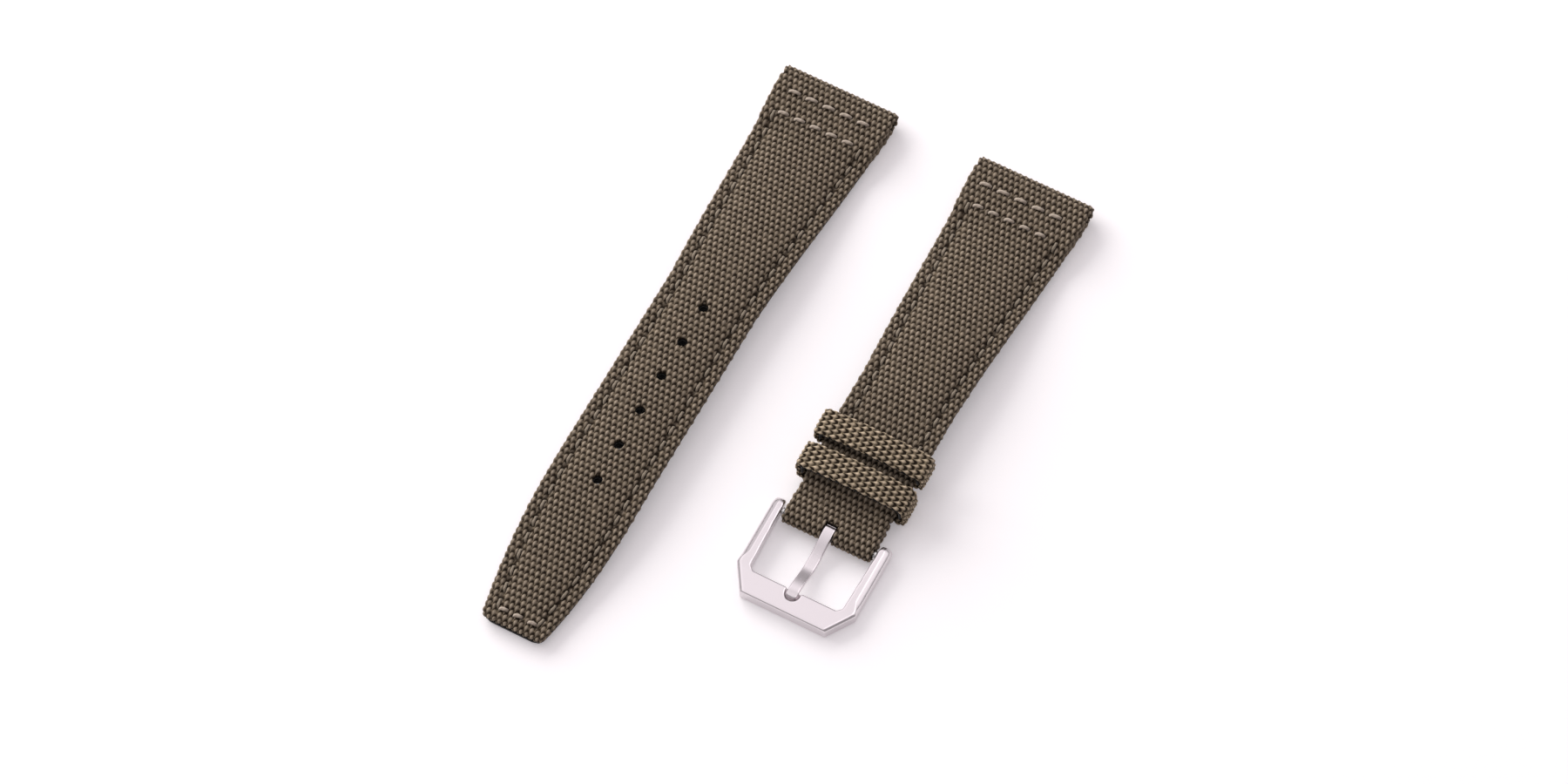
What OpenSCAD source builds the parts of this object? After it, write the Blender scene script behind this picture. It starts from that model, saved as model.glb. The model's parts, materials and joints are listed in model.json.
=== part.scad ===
// Two-piece padded fabric watch strap with a tang buckle, laid flat with its halves side by side.
// X runs across the strap, Y along it with the lug ends at +Y, Z up from the table. Millimetres.

/* [Strap outline] */
// Width where each half meets the watch lugs
lug_w = 22; // [18:0.5:26]
// How much narrower the long half is after its taper
long_taper = 4.8; // [2:0.2:8]
// How much narrower the short half is after its taper
short_taper = 4.2; // [2:0.2:8]
// Length of the long half, lug end to tip
long_len = 119.2; // [105:0.2:135]
// Length of the short half, lug end to the end of the buckle loop
short_len = 79.24; // [72:0.01:95]
// Where the taper from the lugs ends
taper_end = 48; // [38:1:54]
// Width of the square tip
tip_w = 11.2; // [8:0.2:14]
// Length of the curve that narrows to the tip
tip_curve_len = 28; // [18:1:30]
// Radius of the two corners of the tip
tip_corner_r = 1; // [0.5:0.1:2]

/* [Layers] */
// Thickness of one layer of the outer fabric
fabric_t = 0.9; // [0.6:0.05:1.1]
// Thickness of the lining
lining_t = 0.8; // [0.5:0.05:1.1]
// Thickness of the reinforcing ribbon
ribbon_t = 0.35; // [0.2:0.05:0.5]
// How much narrower the ribbon is than the padding, at each side
ribbon_inset = 0.4; // [0.2:0.1:1]
// Glue line between two layers
glue = 0.05; // [0.03:0.01:0.08]
// How far the lining stops short of the turned edge
lining_inset = 0.25; // [0.1:0.05:0.5]
// Distance of the side seams from the edge
seam_inset = 2.2; // [1.8:0.1:3]
// How far the seams pull the fabric down
seam_dip = 0.12; // [0:0.02:0.25]
// Thickness at the edges of the padded stretch
edge_t = 2.4; // [2.2:0.1:3]
// Thickness at the crown of the padded stretch, next to the lugs
crown_t = 3.4; // [3.1:0.1:4]
// Thickness at the crown of the padded stretch, next to the tip
tip_crown_t = 2.9; // [2.7:0.1:3.4]
// Rounding of the turned edges
edge_r = 0.5; // [0.2:0.1:0.8]

/* [Lug ends] */
// Diameter of the channel for the watch's spring bar
lug_bore_d = 2.1; // [1.6:0.1:2.4]
// Outer diameter of the loop round that channel
lug_loop_d = 4; // [3.8:0.1:4.6]
// Length of the folded and stitched lug end
lug_fold_len = 9.5; // [8:0.5:12]
// Thickness where the fold ends
lug_fold_t = 3.6; // [3.2:0.1:4]

/* [Resting shape] */
// How high the middle of the long half arches off the table
arch_h = 2.4; // [0:0.2:4]
// Angle at which the buckle end slopes down to its bar
end_slope = 6; // [4:0.5:8]
// Where that slope starts
slope_start = 56; // [52:0.5:60]

/* [Adjustment holes] */
// Number of holes
hole_count = 6; // [4:1:7]
// Distance of the first hole from the lug end
hole_first = 51.5; // [48:0.5:56]
// Spacing of the holes
hole_pitch = 7.5; // [6:0.1:8]
// Diameter of a hole
hole_d = 1.8; // [1.4:0.1:2.2]

/* [Buckle end] */
// Distance of the bar's axis from the end of the loop
loop_reach = 1.7; // [1.6:0.02:2]
// Height of the bar's axis above the table
bar_z = 1.8; // [1.7:0.02:2.2]
// How much narrower the short half is at the bar than under the keepers
bar_taper = 0.9; // [0.4:0.1:1.6]
// Thickness of the unpadded stretch under the keepers
end_t = 2.5; // [2.3:0.1:2.8]
// Height of the bar's axis above the underside of that stretch
end_under = 1.4; // [1.2:0.05:1.6]
// Length of the fold round the bar
bar_fold_len = 6.6; // [5:0.2:7]
// Room beside the tongue in its slot
slot_room = 0.35; // [0.25:0.05:0.6]
// How far the slot reaches back from the bar
slot_back = 2.8; // [2.4:0.1:3.2]

/* [Keepers] */
// Length of each keeper along the strap
keeper_len = 5; // [4:0.2:6]
// Distance from the bar's axis back to the fixed keeper
keeper_reach = 14; // [13.6:0.1:15]
// Distance between the two keepers
keeper_apart = 1.6; // [1.4:0.1:2.4]
// Thickness of a keeper's fabric
keeper_t = 0.9; // [0.7:0.05:1]
// Thickness of a keeper's liner
keeper_liner_t = 0.4; // [0.3:0.05:0.5]
// Room between the strap's edge and the liner
keeper_side_gap = 0.25; // [0.2:0.05:0.6]
// Room over the strap for the long half, at the keeper's sides
keeper_gap = 1.7; // [1.4:0.1:2.4]
// How much higher the middle of a keeper stands
keeper_bow = 0.6; // [0.3:0.1:1]
// Room between the strap and the bottom of the floating keeper
keeper_under_gap = 0.12; // [0.1:0.02:0.2]
// Radius of a keeper's corners
keeper_r = 1.6; // [1.4:0.1:1.8]
// Length of the fixed keeper's tabs inside the seam
tab_len = 1.9; // [1.2:0.1:2.2]
// Thickness of those tabs
tab_t = 0.45; // [0.3:0.05:0.5]

/* [Buckle] */
// Room between the strap's end and each ear
ear_room = 0.65; // [0.3:0.05:0.9]
// Width of each ear
ear_w = 2.2; // [1.8:0.1:2.6]
// How much narrower the window is at its front, at each side
window_step = 0.35; // [0:0.05:0.6]
// How much narrower the buckle is at its front corners, at each side
front_step = 0; // [0:0.1:0.5]
// Distance from the bar to the front edge of the window
window_reach = 12.5; // [11.6:0.1:13]
// Depth of the front bar
front_bar = 4.45; // [3.8:0.05:5.4]
// Thickness of the front bar
buckle_t = 2.5; // [2.2:0.1:3]
// Size of the corner cuts across the strap
corner_x = 3.2; // [2.6:0.1:4]
// Size of the corner cuts along the strap
corner_y = 5; // [3.4:0.1:5.4]
// Bevel along the outer top edges of the arms and corners
bevel = 0.45; // [0.3:0.05:0.6]
// Bevel along the front
front_bevel = 0.15; // [0.05:0.05:0.4]
// Radius of the ears seen from the side
ear_r = 1.4; // [1.3:0.05:1.5]
// How far the ears reach behind the bar
ear_back = 2.1; // [2:0.05:2.2]
// Radius of the window's front corners
window_r = 0.8; // [0.4:0.1:1.2]
// Depth of the tongue's notch in the front bar
notch_depth = 0.45; // [0.3:0.05:0.6]
// Width of that notch
notch_w = 2.7; // [2.5:0.1:3]
// Room between the tongue's tip and the end of that notch
notch_end_gap = 0.5; // [0.2:0.1:0.7]

/* [Tongue] */
// Width of the tongue
tongue_w = 2; // [1.6:0.1:2.1]
// Thickness of the tongue
tongue_t = 0.85; // [0.7:0.05:0.95]
// Outer radius of the eye round the bar
eye_r = 1.5; // [1.4:0.05:1.65]
// Distance from the bar to the tip
tongue_len = 14.05; // [13.6:0.05:14.7]
// Height of the dipped middle's top face over the bar's axis
dip_z = 0.12; // [0:0.02:0.4]
// Gap left where the eye is curled shut
eye_slit = 0.3; // [0.2:0.05:0.5]
// Rounding of the tip's corners
tongue_corner = 0.5; // [0.3:0.1:0.7]
// How much thinner the tip is
tongue_taper = 0.25; // [0:0.05:0.4]

/* [Spring bar] */
// Diameter of the bar's tube
bar_d = 1.6; // [1.5:0.05:1.7]
// Bore of the tube
bar_bore_d = 1; // [0.9:0.05:1.1]
// Diameter of the crimped mouth at each end of the tube
bar_mouth_d = 0.86; // [0.82:0.02:0.9]
// Length of each crimped mouth
bar_mouth_len = 0.4; // [0.3:0.05:0.6]
// Room left between a tip's flange and the tube when the tip is pressed in
stop_gap = 0.2; // [0.1:0.05:0.5]
// Running clearance round the bar and its tips
run_gap = 0.06; // [0.03:0.01:0.08]
// Diameter of a tip
tip_d = 0.76; // [0.7:0.02:0.8]
// Depth of the tips in the ears
tip_depth = 1.1; // [0.8:0.05:1.2]
// Thickness of the tip's flange
flange_t = 0.35; // [0.25:0.05:0.4]
// How far a tip slides in
tip_travel = 1.2; // [1.15:0.01:1.25]
// Length of the head that keeps a tip in the tube
head_len = 0.6; // [0.4:0.1:0.8]
// Number of turns of the spring
spring_turns = 12; // [8:1:16]
// Wire diameter of the spring
spring_wire = 0.2; // [0.16:0.02:0.24]

/* [Placing] */
// Distance between the centre lines of the halves
halves_gap = 38.6; // [32:0.2:50]
// How much further back the short half's lug end lies
short_back = 0.5; // [0:0.1:2]

/* [Hidden] */

fabric_colour = [0.42, 0.38, 0.31];
keeper_colour = [0.46, 0.42, 0.33];
lining_colour = [0.09, 0.09, 0.09];
padding_colour = [0.62, 0.60, 0.55];
ribbon_colour = [0.85, 0.85, 0.82];
steel_colour = [0.78, 0.77, 0.76];

LONG = 0;
SHORT = 1;
eps = 0.01;
cut = 1;

// Widths that follow from the lug width
long_w = lug_w - long_taper;
short_w = lug_w - short_taper;
bar_end_w = short_w - bar_taper;
ear_gap = bar_end_w + 2 * ear_room;
buckle_w = ear_gap + 2 * ear_w;
buckle_front_w = buckle_w - 2 * front_step;
window_w = ear_gap - 2 * window_step;

// Centre lines and lug ends, so that the laid-out strap's box is centred on the origin
long_x = -(halves_gap + (buckle_w - lug_w) / 2) / 2;
short_x = long_x + halves_gap;
long_y = long_len / 2;
short_y = long_y - short_back;

// The stack of layers, from the underside up
skin_z = lining_t + glue;
ribbon_z = skin_z;
padding_z = ribbon_z + ribbon_t + glue;
core_inset = seam_inset + 0.8;
core_from = lug_fold_len + 0.4;
core_end_margin = 5.6;

// Where the bar lies along the short half, and where the fold round it starts
bar_s = short_len - loop_reach;
fold_s = bar_s - end_under * sin(end_slope) - bar_fold_len * cos(end_slope);
padding_end = slope_start - 1;
bar_bore_r = bar_d / 2 + run_gap;

function clamp01(t) = min(1, max(0, t));
function ease(t) = let(c = clamp01(t)) c * c * (3 - 2 * c);
function mix(a, b, t) = a + (b - a) * clamp01(t);
function half_len(k) = k == LONG ? long_len : short_len;

// Half width of each half at a distance s from its lug end
tip_bow = (long_w - tip_w) / 2;
tip_radius = (tip_curve_len * tip_curve_len + tip_bow * tip_bow) / (2 * tip_bow);
function tip_narrowing(s) = let(d = max(0, s - (long_len - tip_curve_len)))
    tip_radius - sqrt(tip_radius * tip_radius - d * d);
function corner_rounding(s) = let(d = max(0, min(tip_corner_r, s - (long_len - tip_corner_r))))
    tip_corner_r - sqrt(tip_corner_r * tip_corner_r - d * d);
function half_w(k, s) = k == LONG
    ? mix(lug_w, long_w, (s - lug_fold_len / 2) / (taper_end - lug_fold_len / 2)) / 2
        - tip_narrowing(s) - corner_rounding(s)
    : (mix(lug_w, short_w, (s - lug_fold_len / 2) / (taper_end - lug_fold_len / 2))
        - (short_w - bar_end_w) * clamp01((s - slope_start) / (fold_s - slope_start))) / 2;

// Height of the underside over the table, and its slope
slope_h = bar_z + (bar_s - slope_start) * tan(end_slope) - end_under / cos(end_slope);
function long_rise(s) = arch_h * ease((s - lug_fold_len) / 34) * ease((long_len - 4 - s) / 32);
function short_rise(s) = s < slope_start
    ? slope_h * ease((s - lug_fold_len) / 34)
    : bar_z + (bar_s - s) * tan(end_slope) - end_under / cos(end_slope);
function rise(k, s) = k == LONG ? long_rise(s) : short_rise(s);
function grade(k, s) = (rise(k, s + eps) - rise(k, s - eps)) / (2 * eps);

// Thickness at the edges and at the crown
function soften(k, s) = k == LONG ? 1 : 1 - ease((s - slope_start + 6) / 6);
function crown(k, s) = let(
        padded = mix(crown_t, tip_crown_t, s / long_len),
        body = k == LONG
            ? mix(padded, edge_t, (s - long_len + core_end_margin) / core_end_margin)
            : mix(end_t, padded, soften(k, s)))
    mix(lug_fold_t, body, ease((s - lug_fold_len) / 4)) - end_rounding(k, s);
function edge(k, s) = mix(lug_fold_t, mix(k == LONG ? edge_t : end_t, edge_t, soften(k, s)),
    ease((s - lug_fold_len) / 4)) - end_rounding(k, s);
function end_rounding(k, s) = k == LONG
    ? let(d = max(0, min(edge_r, s - (long_len - edge_r)))) edge_r - sqrt(edge_r * edge_r - d * d)
    : 0;

// A point of a half: x across, s from the lug end, h square to the underside
function place(k, s, x, h) = let(g = grade(k, s), n = sqrt(1 + g * g))
    [x, -s + h * g / n, rise(k, s) + h / n];

function evenly(from, to, count) = [for (i = [0:count]) mix(from, to, i / count)];

// Cross-section of the outer skin, from the bottom left corner over the crown
function skin_section(w, e, c, dip) = let(
        seam = w - seam_inset,
        left = [[w, skin_z], [w, e - edge_r], [w - edge_r * 0.3, e - edge_r * 0.3], [w - edge_r, e],
            [seam, e - dip], [seam * 0.72, mix(e, c, 0.62)], [seam * 0.4, mix(e, c, 0.93)]])
    concat([for (p = left) [-p[0], p[1]]], [[0, c]], [for (i = [len(left) - 1:-1:0]) left[i]]);

// Cross-section of the room under the skin, or of the padding that fills it
function core_section(w, e, c, floor_h, drop) = let(
        seam = w - seam_inset,
        left = [[seam - 0.8, floor_h], [seam - 0.8, mix(e, c, 0.3) - drop],
            [seam * 0.72, mix(e, c, 0.62) - drop], [seam * 0.4, mix(e, c, 0.93) - drop]])
    concat([for (p = left) [-p[0], p[1]]], [[0, c - drop]], [for (i = [len(left) - 1:-1:0]) left[i]]);

function flat_section(w, lo, hi) = [[-w, lo], [-w, hi], [w, hi], [w, lo]];

// Closed solid through a list of rings, each a list of points in the same order
module loft(rings) {
    n = len(rings[0]);
    m = len(rings);
    polyhedron(
        points = [for (r = rings) each r],
        faces = concat(
            [[for (j = [n - 1:-1:0]) j]],
            [for (i = [0:m - 2], j = [0:n - 1]) each [
                [i * n + j, (i + 1) * n + (j + 1) % n, (i + 1) * n + j],
                [i * n + j, i * n + (j + 1) % n, (i + 1) * n + (j + 1) % n]]],
            [[for (j = [0:n - 1]) (m - 1) * n + j]]),
        convexity = 6);
}

// Moves a half's own frame, with its lug end at y = 0, to its place on the table
module at_half(k) {
    translate(k == LONG ? [long_x, long_y, 0] : [short_x, short_y, 0]) children();
}

// Frame of the sloping buckle end: origin on the bar's axis, +Y back along the strap
module at_bar() {
    at_half(SHORT) translate([0, -bar_s, bar_z]) rotate([end_slope, 0, 0]) children();
}

// Extrudes a shape drawn in Y and Z across the strap
module across(w) {
    rotate([90, 0, 90]) linear_extrude(height = w, center = true) children();
}

// Extrudes a shape drawn in X and Z along the strap, from y = 0 towards +Y
module along(l) {
    translate([0, l, 0]) rotate([90, 0, 0]) linear_extrude(height = l) children();
}

// Folded lug end: the skin turns round the spring bar's channel and comes back underneath
module lug_end() {
    r = lug_loop_d / 2;
    w0 = half_w(LONG, 0);
    w1 = half_w(LONG, lug_fold_len);
    intersection() {
        difference() {
            across(lug_w + cut) union() {
                translate([-r, r]) circle(r = r, $fn = 64);
                polygon([[-r, 0], [-r, lug_loop_d], [-r * 2.4, lug_loop_d],
                    [-lug_fold_len, lug_fold_t], [-lug_fold_len, 0]]);
            }
            translate([0, -r, r]) rotate([0, 90, 0])
                cylinder(h = lug_w + 2 * cut, d = lug_bore_d, center = true, $fn = 64);
        }
        translate([0, 0, -cut]) linear_extrude(height = lug_loop_d + 2 * cut)
            polygon([[-w0, cut], [-w0, -lug_fold_len / 2], [-w1, -lug_fold_len - cut],
                [w1, -lug_fold_len - cut], [w0, -lug_fold_len / 2], [w0, cut]]);
    }
}

// Stations along each half, shared by its layers: close together where the form changes quickly
tip_start = long_len - tip_curve_len;
tip_corner = long_len - tip_corner_r;
spine_from = lug_fold_len + 0.8;
function spine(k) = k == LONG
    ? concat(evenly(spine_from, spine_from + 3.2, 3), evenly(spine_from + 8, tip_start, 13),
        evenly(tip_start + 4, tip_corner - 1, 6),
        [for (a = [0:22.5:67.5]) tip_corner + tip_corner_r * sin(a)])
    : concat(evenly(spine_from, spine_from + 3.2, 3), evenly(spine_from + 8, slope_start - 6, 6),
        evenly(slope_start - 4, slope_start, 2));
function stations(k, from, to, apart = 0.3) =
    concat([from], [for (s = spine(k)) if (s > from + apart && s < to - apart) s], [to]);

// How far the skin is held in where it enters a folded end
function tuck(k, s) = s < lug_fold_len || (k == SHORT && s > fold_s) ? 0.06 : 0;

module skin(k) {
    loft([for (s = stations(k, lug_fold_len - 1.5, k == LONG ? long_len : fold_s + 1.5, 0.02))
        let(t = tuck(k, s), dip = t > 0 ? 0 : seam_dip,
            sec = skin_section(half_w(k, s) - t, edge(k, s) - t, crown(k, s) - t, dip))
        [for (p = sec) place(k, s, p[0], p[1])]]);
}

function core_end(k) = k == LONG ? long_len - core_end_margin : padding_end;
// Padded core: the room left for it under the skin, or the padding itself
module core(k, floor_h, drop, play) {
    loft([for (s = stations(k, core_from + play, core_end(k) - play))
        [for (p = core_section(half_w(k, s) - play, edge(k, s), crown(k, s), floor_h, drop))
            place(k, s, p[0], p[1])]]);
}

function ribbon_end(k) = k == LONG ? long_len - core_end_margin : fold_s - 1;
// Ribbon inside the seams, a little narrower than the padding over it
module ribbon(k) {
    loft([for (s = stations(k, core_from + glue, ribbon_end(k) - glue))
        let(w = half_w(k, s) - core_inset - ribbon_inset - glue)
        [for (p = flat_section(w, ribbon_z, ribbon_z + ribbon_t)) place(k, s, p[0], p[1])]]);
}

// Room for the ribbon under the skin, from the padding to the buckle's fold
module ribbon_room() {
    loft([for (s = [slope_start - 2, slope_start, ribbon_end(SHORT)])
        let(w = half_w(SHORT, s) - core_inset - ribbon_inset)
        [for (p = flat_section(w, 0, ribbon_z + ribbon_t + glue)) place(SHORT, s, p[0], p[1])]]);
}

module padding(k) {
    core(k, padding_z, fabric_t + glue, glue);
}

module lining(k) {
    loft([for (s = stations(k, lug_fold_len + glue, k == LONG ? long_len - lining_inset : fold_s - glue))
        [for (p = flat_section(half_w(k, s) - lining_inset, 0, lining_t)) place(k, s, p[0], p[1])]]);
}

// Adjustment holes, square to the table
module holes() {
    for (i = [0:hole_count - 1])
        translate([0, -hole_first - i * hole_pitch, -cut])
            cylinder(h = arch_h + crown_t + 3 * cut, d = hole_d, $fn = 32);
}

module long_top_fabric() {
    color(fabric_colour) at_half(LONG) difference() {
        union() {
            lug_end();
            skin(LONG);
        }
        core(LONG, 0, fabric_t, 0);
        holes();
    }
}

module long_padding() {
    color(padding_colour) at_half(LONG) difference() {
        padding(LONG);
        holes();
    }
}

module long_reinforcement() {
    color(ribbon_colour) at_half(LONG) difference() {
        ribbon(LONG);
        holes();
    }
}

module long_lining() {
    color(lining_colour) at_half(LONG) difference() {
        lining(LONG);
        holes();
    }
}

// Fold round the buckle's bar, in the bar's own frame
module bar_end() {
    loop_r = loop_reach;
    difference() {
        across(bar_end_w) union() {
            circle(r = loop_r, $fn = 64);
            polygon([[0, -loop_r], [0, loop_r], [loop_r * 1.2, loop_r], [bar_fold_len - 1, end_t - end_under],
                [bar_fold_len, end_t - end_under], [bar_fold_len, -end_under],
                [bar_fold_len - 2, -end_under], [loop_r * 1.2, -loop_r]]);
        }
        rotate([0, 90, 0]) cylinder(h = bar_end_w + cut, r = bar_bore_r, center = true, $fn = 64);
        slot_w = tongue_w + 2 * slot_room;
        translate([-slot_w / 2, -loop_r - cut, -loop_r - cut])
            cube([slot_w, loop_r + cut + slot_back, 2 * (loop_r + cut)]);
    }
}

fixed_back = keeper_reach;
floating_back = keeper_reach - keeper_apart - keeper_len;
strap_lo = -end_under;
strap_hi = end_t - end_under;
tab_lo = strap_lo + skin_z;

module short_top_fabric() {
    pocket_room = glue;
    color(fabric_colour) difference() {
        union() {
            at_half(SHORT) {
                lug_end();
                skin(SHORT);
            }
            at_bar() bar_end();
        }
        at_half(SHORT) {
            core(SHORT, 0, fabric_t, 0);
            ribbon_room();
        }
        at_bar() for (side = [-1, 1])
            translate([side * (short_w / 2 + cut / 2 - tab_len / 2), fixed_back + keeper_len / 2,
                    tab_lo + tab_t / 2])
                cube([tab_len + cut + 2 * pocket_room, keeper_len + 2 * pocket_room,
                    tab_t + 2 * pocket_room], center = true);
    }
}

module short_padding() {
    color(padding_colour) at_half(SHORT) padding(SHORT);
}

module short_reinforcement() {
    color(ribbon_colour) at_half(SHORT) ribbon(SHORT);
}

module short_lining() {
    color(lining_colour) at_half(SHORT) lining(SHORT);
}

// Outline of a keeper: rounded corners and a bowed top
module keeper_outline(w, lo, hi, r, bow) {
    bow_r = (pow(w - r, 2) + bow * bow) / (2 * bow);
    union() {
        for (side = [-1, 1]) {
            translate([side * (w - r), hi - r]) circle(r = r, $fn = 48);
            translate([side * (w - r), lo + r]) circle(r = r, $fn = 48);
        }
        translate([-w, lo + r]) square([2 * w, hi - lo - 2 * r]);
        translate([r - w, lo]) square([2 * (w - r), hi - lo]);
        intersection() {
            translate([0, hi + bow - bow_r]) circle(r = bow_r, $fn = 200);
            translate([r - w, hi - eps]) square([2 * (w - r), bow + 1]);
        }
    }
}

// A keeper's outline drawn in by d from its outer face
keeper_w = short_w / 2 + keeper_side_gap + keeper_liner_t + glue + keeper_t;
keeper_hi = strap_hi + keeper_gap + keeper_liner_t + glue + keeper_t;
keeper_lo = strap_lo - keeper_under_gap - keeper_t;
module keeper_inside(d) {
    keeper_outline(keeper_w - d, keeper_lo + min(d, keeper_t), keeper_hi - d, keeper_r - d * 0.75, keeper_bow);
}

module keeper_band(bottom) {
    along(keeper_len) difference() {
        keeper_inside(0);
        keeper_inside(keeper_t);
        if (!bottom) translate([-keeper_w - cut, keeper_lo - cut])
            square([2 * (keeper_w + cut), tab_lo - keeper_lo + cut]);
    }
}

module keeper_liner(from_h) {
    along(keeper_len) intersection() {
        difference() {
            keeper_inside(keeper_t + glue);
            keeper_inside(keeper_t + glue + keeper_liner_t);
        }
        translate([-keeper_w, from_h]) square([2 * keeper_w, keeper_hi + keeper_bow - from_h + cut]);
    }
}

module fixed_keeper_band() {
    inner = keeper_w - keeper_t;
    tab_from = short_w / 2 - tab_len;
    color(keeper_colour) at_bar() translate([0, fixed_back, 0]) union() {
        keeper_band(false);
        for (side = [-1, 1])
            translate([side * (inner + eps + tab_from) / 2, keeper_len / 2, tab_lo + tab_t / 2])
                cube([inner + eps - tab_from, keeper_len, tab_t], center = true);
    }
}

module fixed_keeper_liner() {
    color(lining_colour) at_bar() translate([0, fixed_back, 0]) keeper_liner(tab_lo + tab_t + glue);
}

module floating_keeper_band() {
    color(keeper_colour) at_bar() translate([0, floating_back, 0]) keeper_band(true);
}

module floating_keeper_liner() {
    color(lining_colour) at_bar() translate([0, floating_back, 0]) keeper_liner(strap_lo + end_t / 4);
}

// Level frame on the bar's axis, for the buckle
module at_buckle() {
    at_half(SHORT) translate([0, -bar_s, bar_z]) children();
}

buckle_front = -(window_reach + front_bar);
ear_mid = ear_back - ear_r;
notch_len = tongue_len + notch_end_gap - window_reach;
ear_x = ear_gap / 2;
flange_from = ear_x - run_gap * 2.5 - flange_t;
bar_len = 2 * (flange_from - tip_travel - stop_gap);

// Cuts the bevel along a top edge from p to q, with the frame on its left, at heights h0 and h1
module bevel_cut(p, q, h0, h1, size = bevel) {
    d = q - p;
    l = norm(d);
    translate([p[0], p[1], h0]) rotate([0, 0, atan2(d[1], d[0])]) rotate([0, -atan2(h1 - h0, l), 0])
        translate([-1, 0, -size]) rotate([45, 0, 0]) translate([0, -2, 0]) cube([l + 2, 6, 4]);
}

module buckle_frame() {
    top = buckle_t - bar_z;
    under = -bar_z;
    ear_top = ear_r * 0.97;
    hw = buckle_w / 2;
    hf = buckle_front_w / 2;
    win = window_w / 2;
    front_corner = [hf - corner_x, buckle_front];
    side_corner = [hf, buckle_front + corner_y];
    tail = [hw, ear_back];
    outline = [front_corner, side_corner, tail];
    rise_at = -window_reach;
    side_h = top + (ear_top - top) * max(0, side_corner[1] - rise_at) / (ear_mid - rise_at);
    color(steel_colour) at_buckle() difference() {
        intersection() {
            translate([0, 0, -bar_z - cut]) linear_extrude(height = 2 * (bar_z + cut)) difference() {
                polygon(concat(outline, [for (i = [2:-1:0]) [-outline[i][0], outline[i][1]]]));
                polygon([[-win, -window_reach + window_r], [-win + window_r, -window_reach],
                    [win - window_r, -window_reach], [win, -window_reach + window_r],
                    [ear_x, -ear_r], [ear_x, ear_back + cut], [-ear_x, ear_back + cut], [-ear_x, -ear_r]]);
            }
            union() {
                translate([0, ear_mid, 0]) rotate([0, 90, 0])
                    cylinder(h = buckle_w + cut, r = ear_r, center = true, $fn = 64);
                across(buckle_w + cut)
                    polygon([[ear_mid, ear_top], [ear_mid, -ear_top], [-window_reach + 1, under],
                        [buckle_front, under], [buckle_front, top], [rise_at, top]]);
            }
        }
        for (side = [0, 1]) mirror([side, 0, 0]) {
            translate([ear_x - cut, 0, 0]) rotate([0, 90, 0])
                cylinder(h = cut + tip_depth + run_gap, r = tip_d / 2 + run_gap, $fn = 48);
            bevel_cut(front_corner, side_corner, top, top);
            bevel_cut(side_corner, [hw, ear_mid], side_h, ear_top);
        }
        bevel_cut([-hf, buckle_front], [hf, buckle_front], top, top, front_bevel);
        translate([0, 0, top - notch_depth]) union() {
            translate([0, -window_reach - notch_len + notch_w / 2, 0]) cylinder(h = 1, d = notch_w, $fn = 48);
            translate([-notch_w / 2, -window_reach - notch_len + notch_w / 2, 0]) cube([notch_w, notch_len, 1]);
        }
    }
}

// Top face of the tongue over the bar's axis at a distance v in front of it
rest_z = buckle_t - bar_z - notch_depth + run_gap;
tongue_over = rest_z + tongue_t;
dip_from = window_reach * 0.44;
dip_to = window_reach * 0.54;
function tongue_top(v) = v < dip_from
    ? mix(eye_r, dip_z, ease(v / dip_from))
    : mix(dip_z, tongue_over, ease((v - dip_to) / (window_reach - dip_to)))
        - tongue_taper * ease((v - window_reach) / (tongue_reach - window_reach));
function tongue_low(v) = tongue_top(v) - tongue_t
    + tongue_taper * ease((v - window_reach) / (tongue_reach - window_reach));
tongue_tip_r = (tongue_t - tongue_taper) / 2;
tongue_reach = tongue_len - tongue_tip_r;

module buckle_tongue() {
    tip_r = tongue_tip_r;
    reach = tongue_reach;
    steps = evenly(0, reach, 28);
    hw = tongue_w / 2;
    c = tongue_corner;
    color(steel_colour) at_buckle() intersection() {
        across(tongue_w) difference() {
            union() {
                circle(r = eye_r, $fn = 48);
                polygon(concat([for (v = steps) [-v, tongue_top(v)]],
                    [for (i = [28:-1:0]) [-steps[i], tongue_low(steps[i])]]));
                translate([-reach, tongue_top(reach) - tip_r]) circle(r = tip_r, $fn = 32);
            }
            circle(r = bar_bore_r, $fn = 48);
            rotate(60) translate([0, -eye_slit / 2]) square([eye_r + cut, eye_slit]);
        }
        translate([0, 0, -eye_r - cut]) linear_extrude(height = 2 * (eye_r + cut))
            polygon([[-hw - cut, eye_r + cut], [-hw - cut, -reach + 1], [-hw, -tongue_len + c],
                [-hw + c * 0.3, -tongue_len + c * 0.3], [-hw + c, -tongue_len - 0.001],
                [hw - c, -tongue_len - 0.001], [hw - c * 0.3, -tongue_len + c * 0.3],
                [hw, -tongue_len + c], [hw + cut, -reach + 1], [hw + cut, eye_r + cut]]);
    }
}

module spring_bar_tube() {
    color(steel_colour) at_buckle() rotate([0, 90, 0]) difference() {
        cylinder(h = bar_len, d = bar_d, center = true, $fn = 48);
        cylinder(h = bar_len - 2 * bar_mouth_len, d = bar_bore_d, center = true, $fn = 48);
        cylinder(h = bar_len + cut, d = bar_mouth_d, center = true, $fn = 48);
    }
}

// One tip, with its far end towards +X: head, stem, flange and point
head_from = bar_len / 2 - bar_mouth_len - run_gap - head_len;
module spring_bar_tip() {
    head_d = bar_bore_d - run_gap;
    translate([head_from, 0, 0]) rotate([0, 90, 0]) union() {
        cylinder(h = head_len, d = head_d, $fn = 48);
        cylinder(h = ear_x + tip_depth - head_from, d = tip_d, $fn = 48);
        translate([0, 0, flange_from - head_from]) cylinder(h = flange_t, d = bar_d, $fn = 48);
    }
}

module spring_bar_tip_left() {
    color(steel_colour) at_buckle() mirror([1, 0, 0]) spring_bar_tip();
}

module spring_bar_tip_right() {
    color(steel_colour) at_buckle() spring_bar_tip();
}

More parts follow.
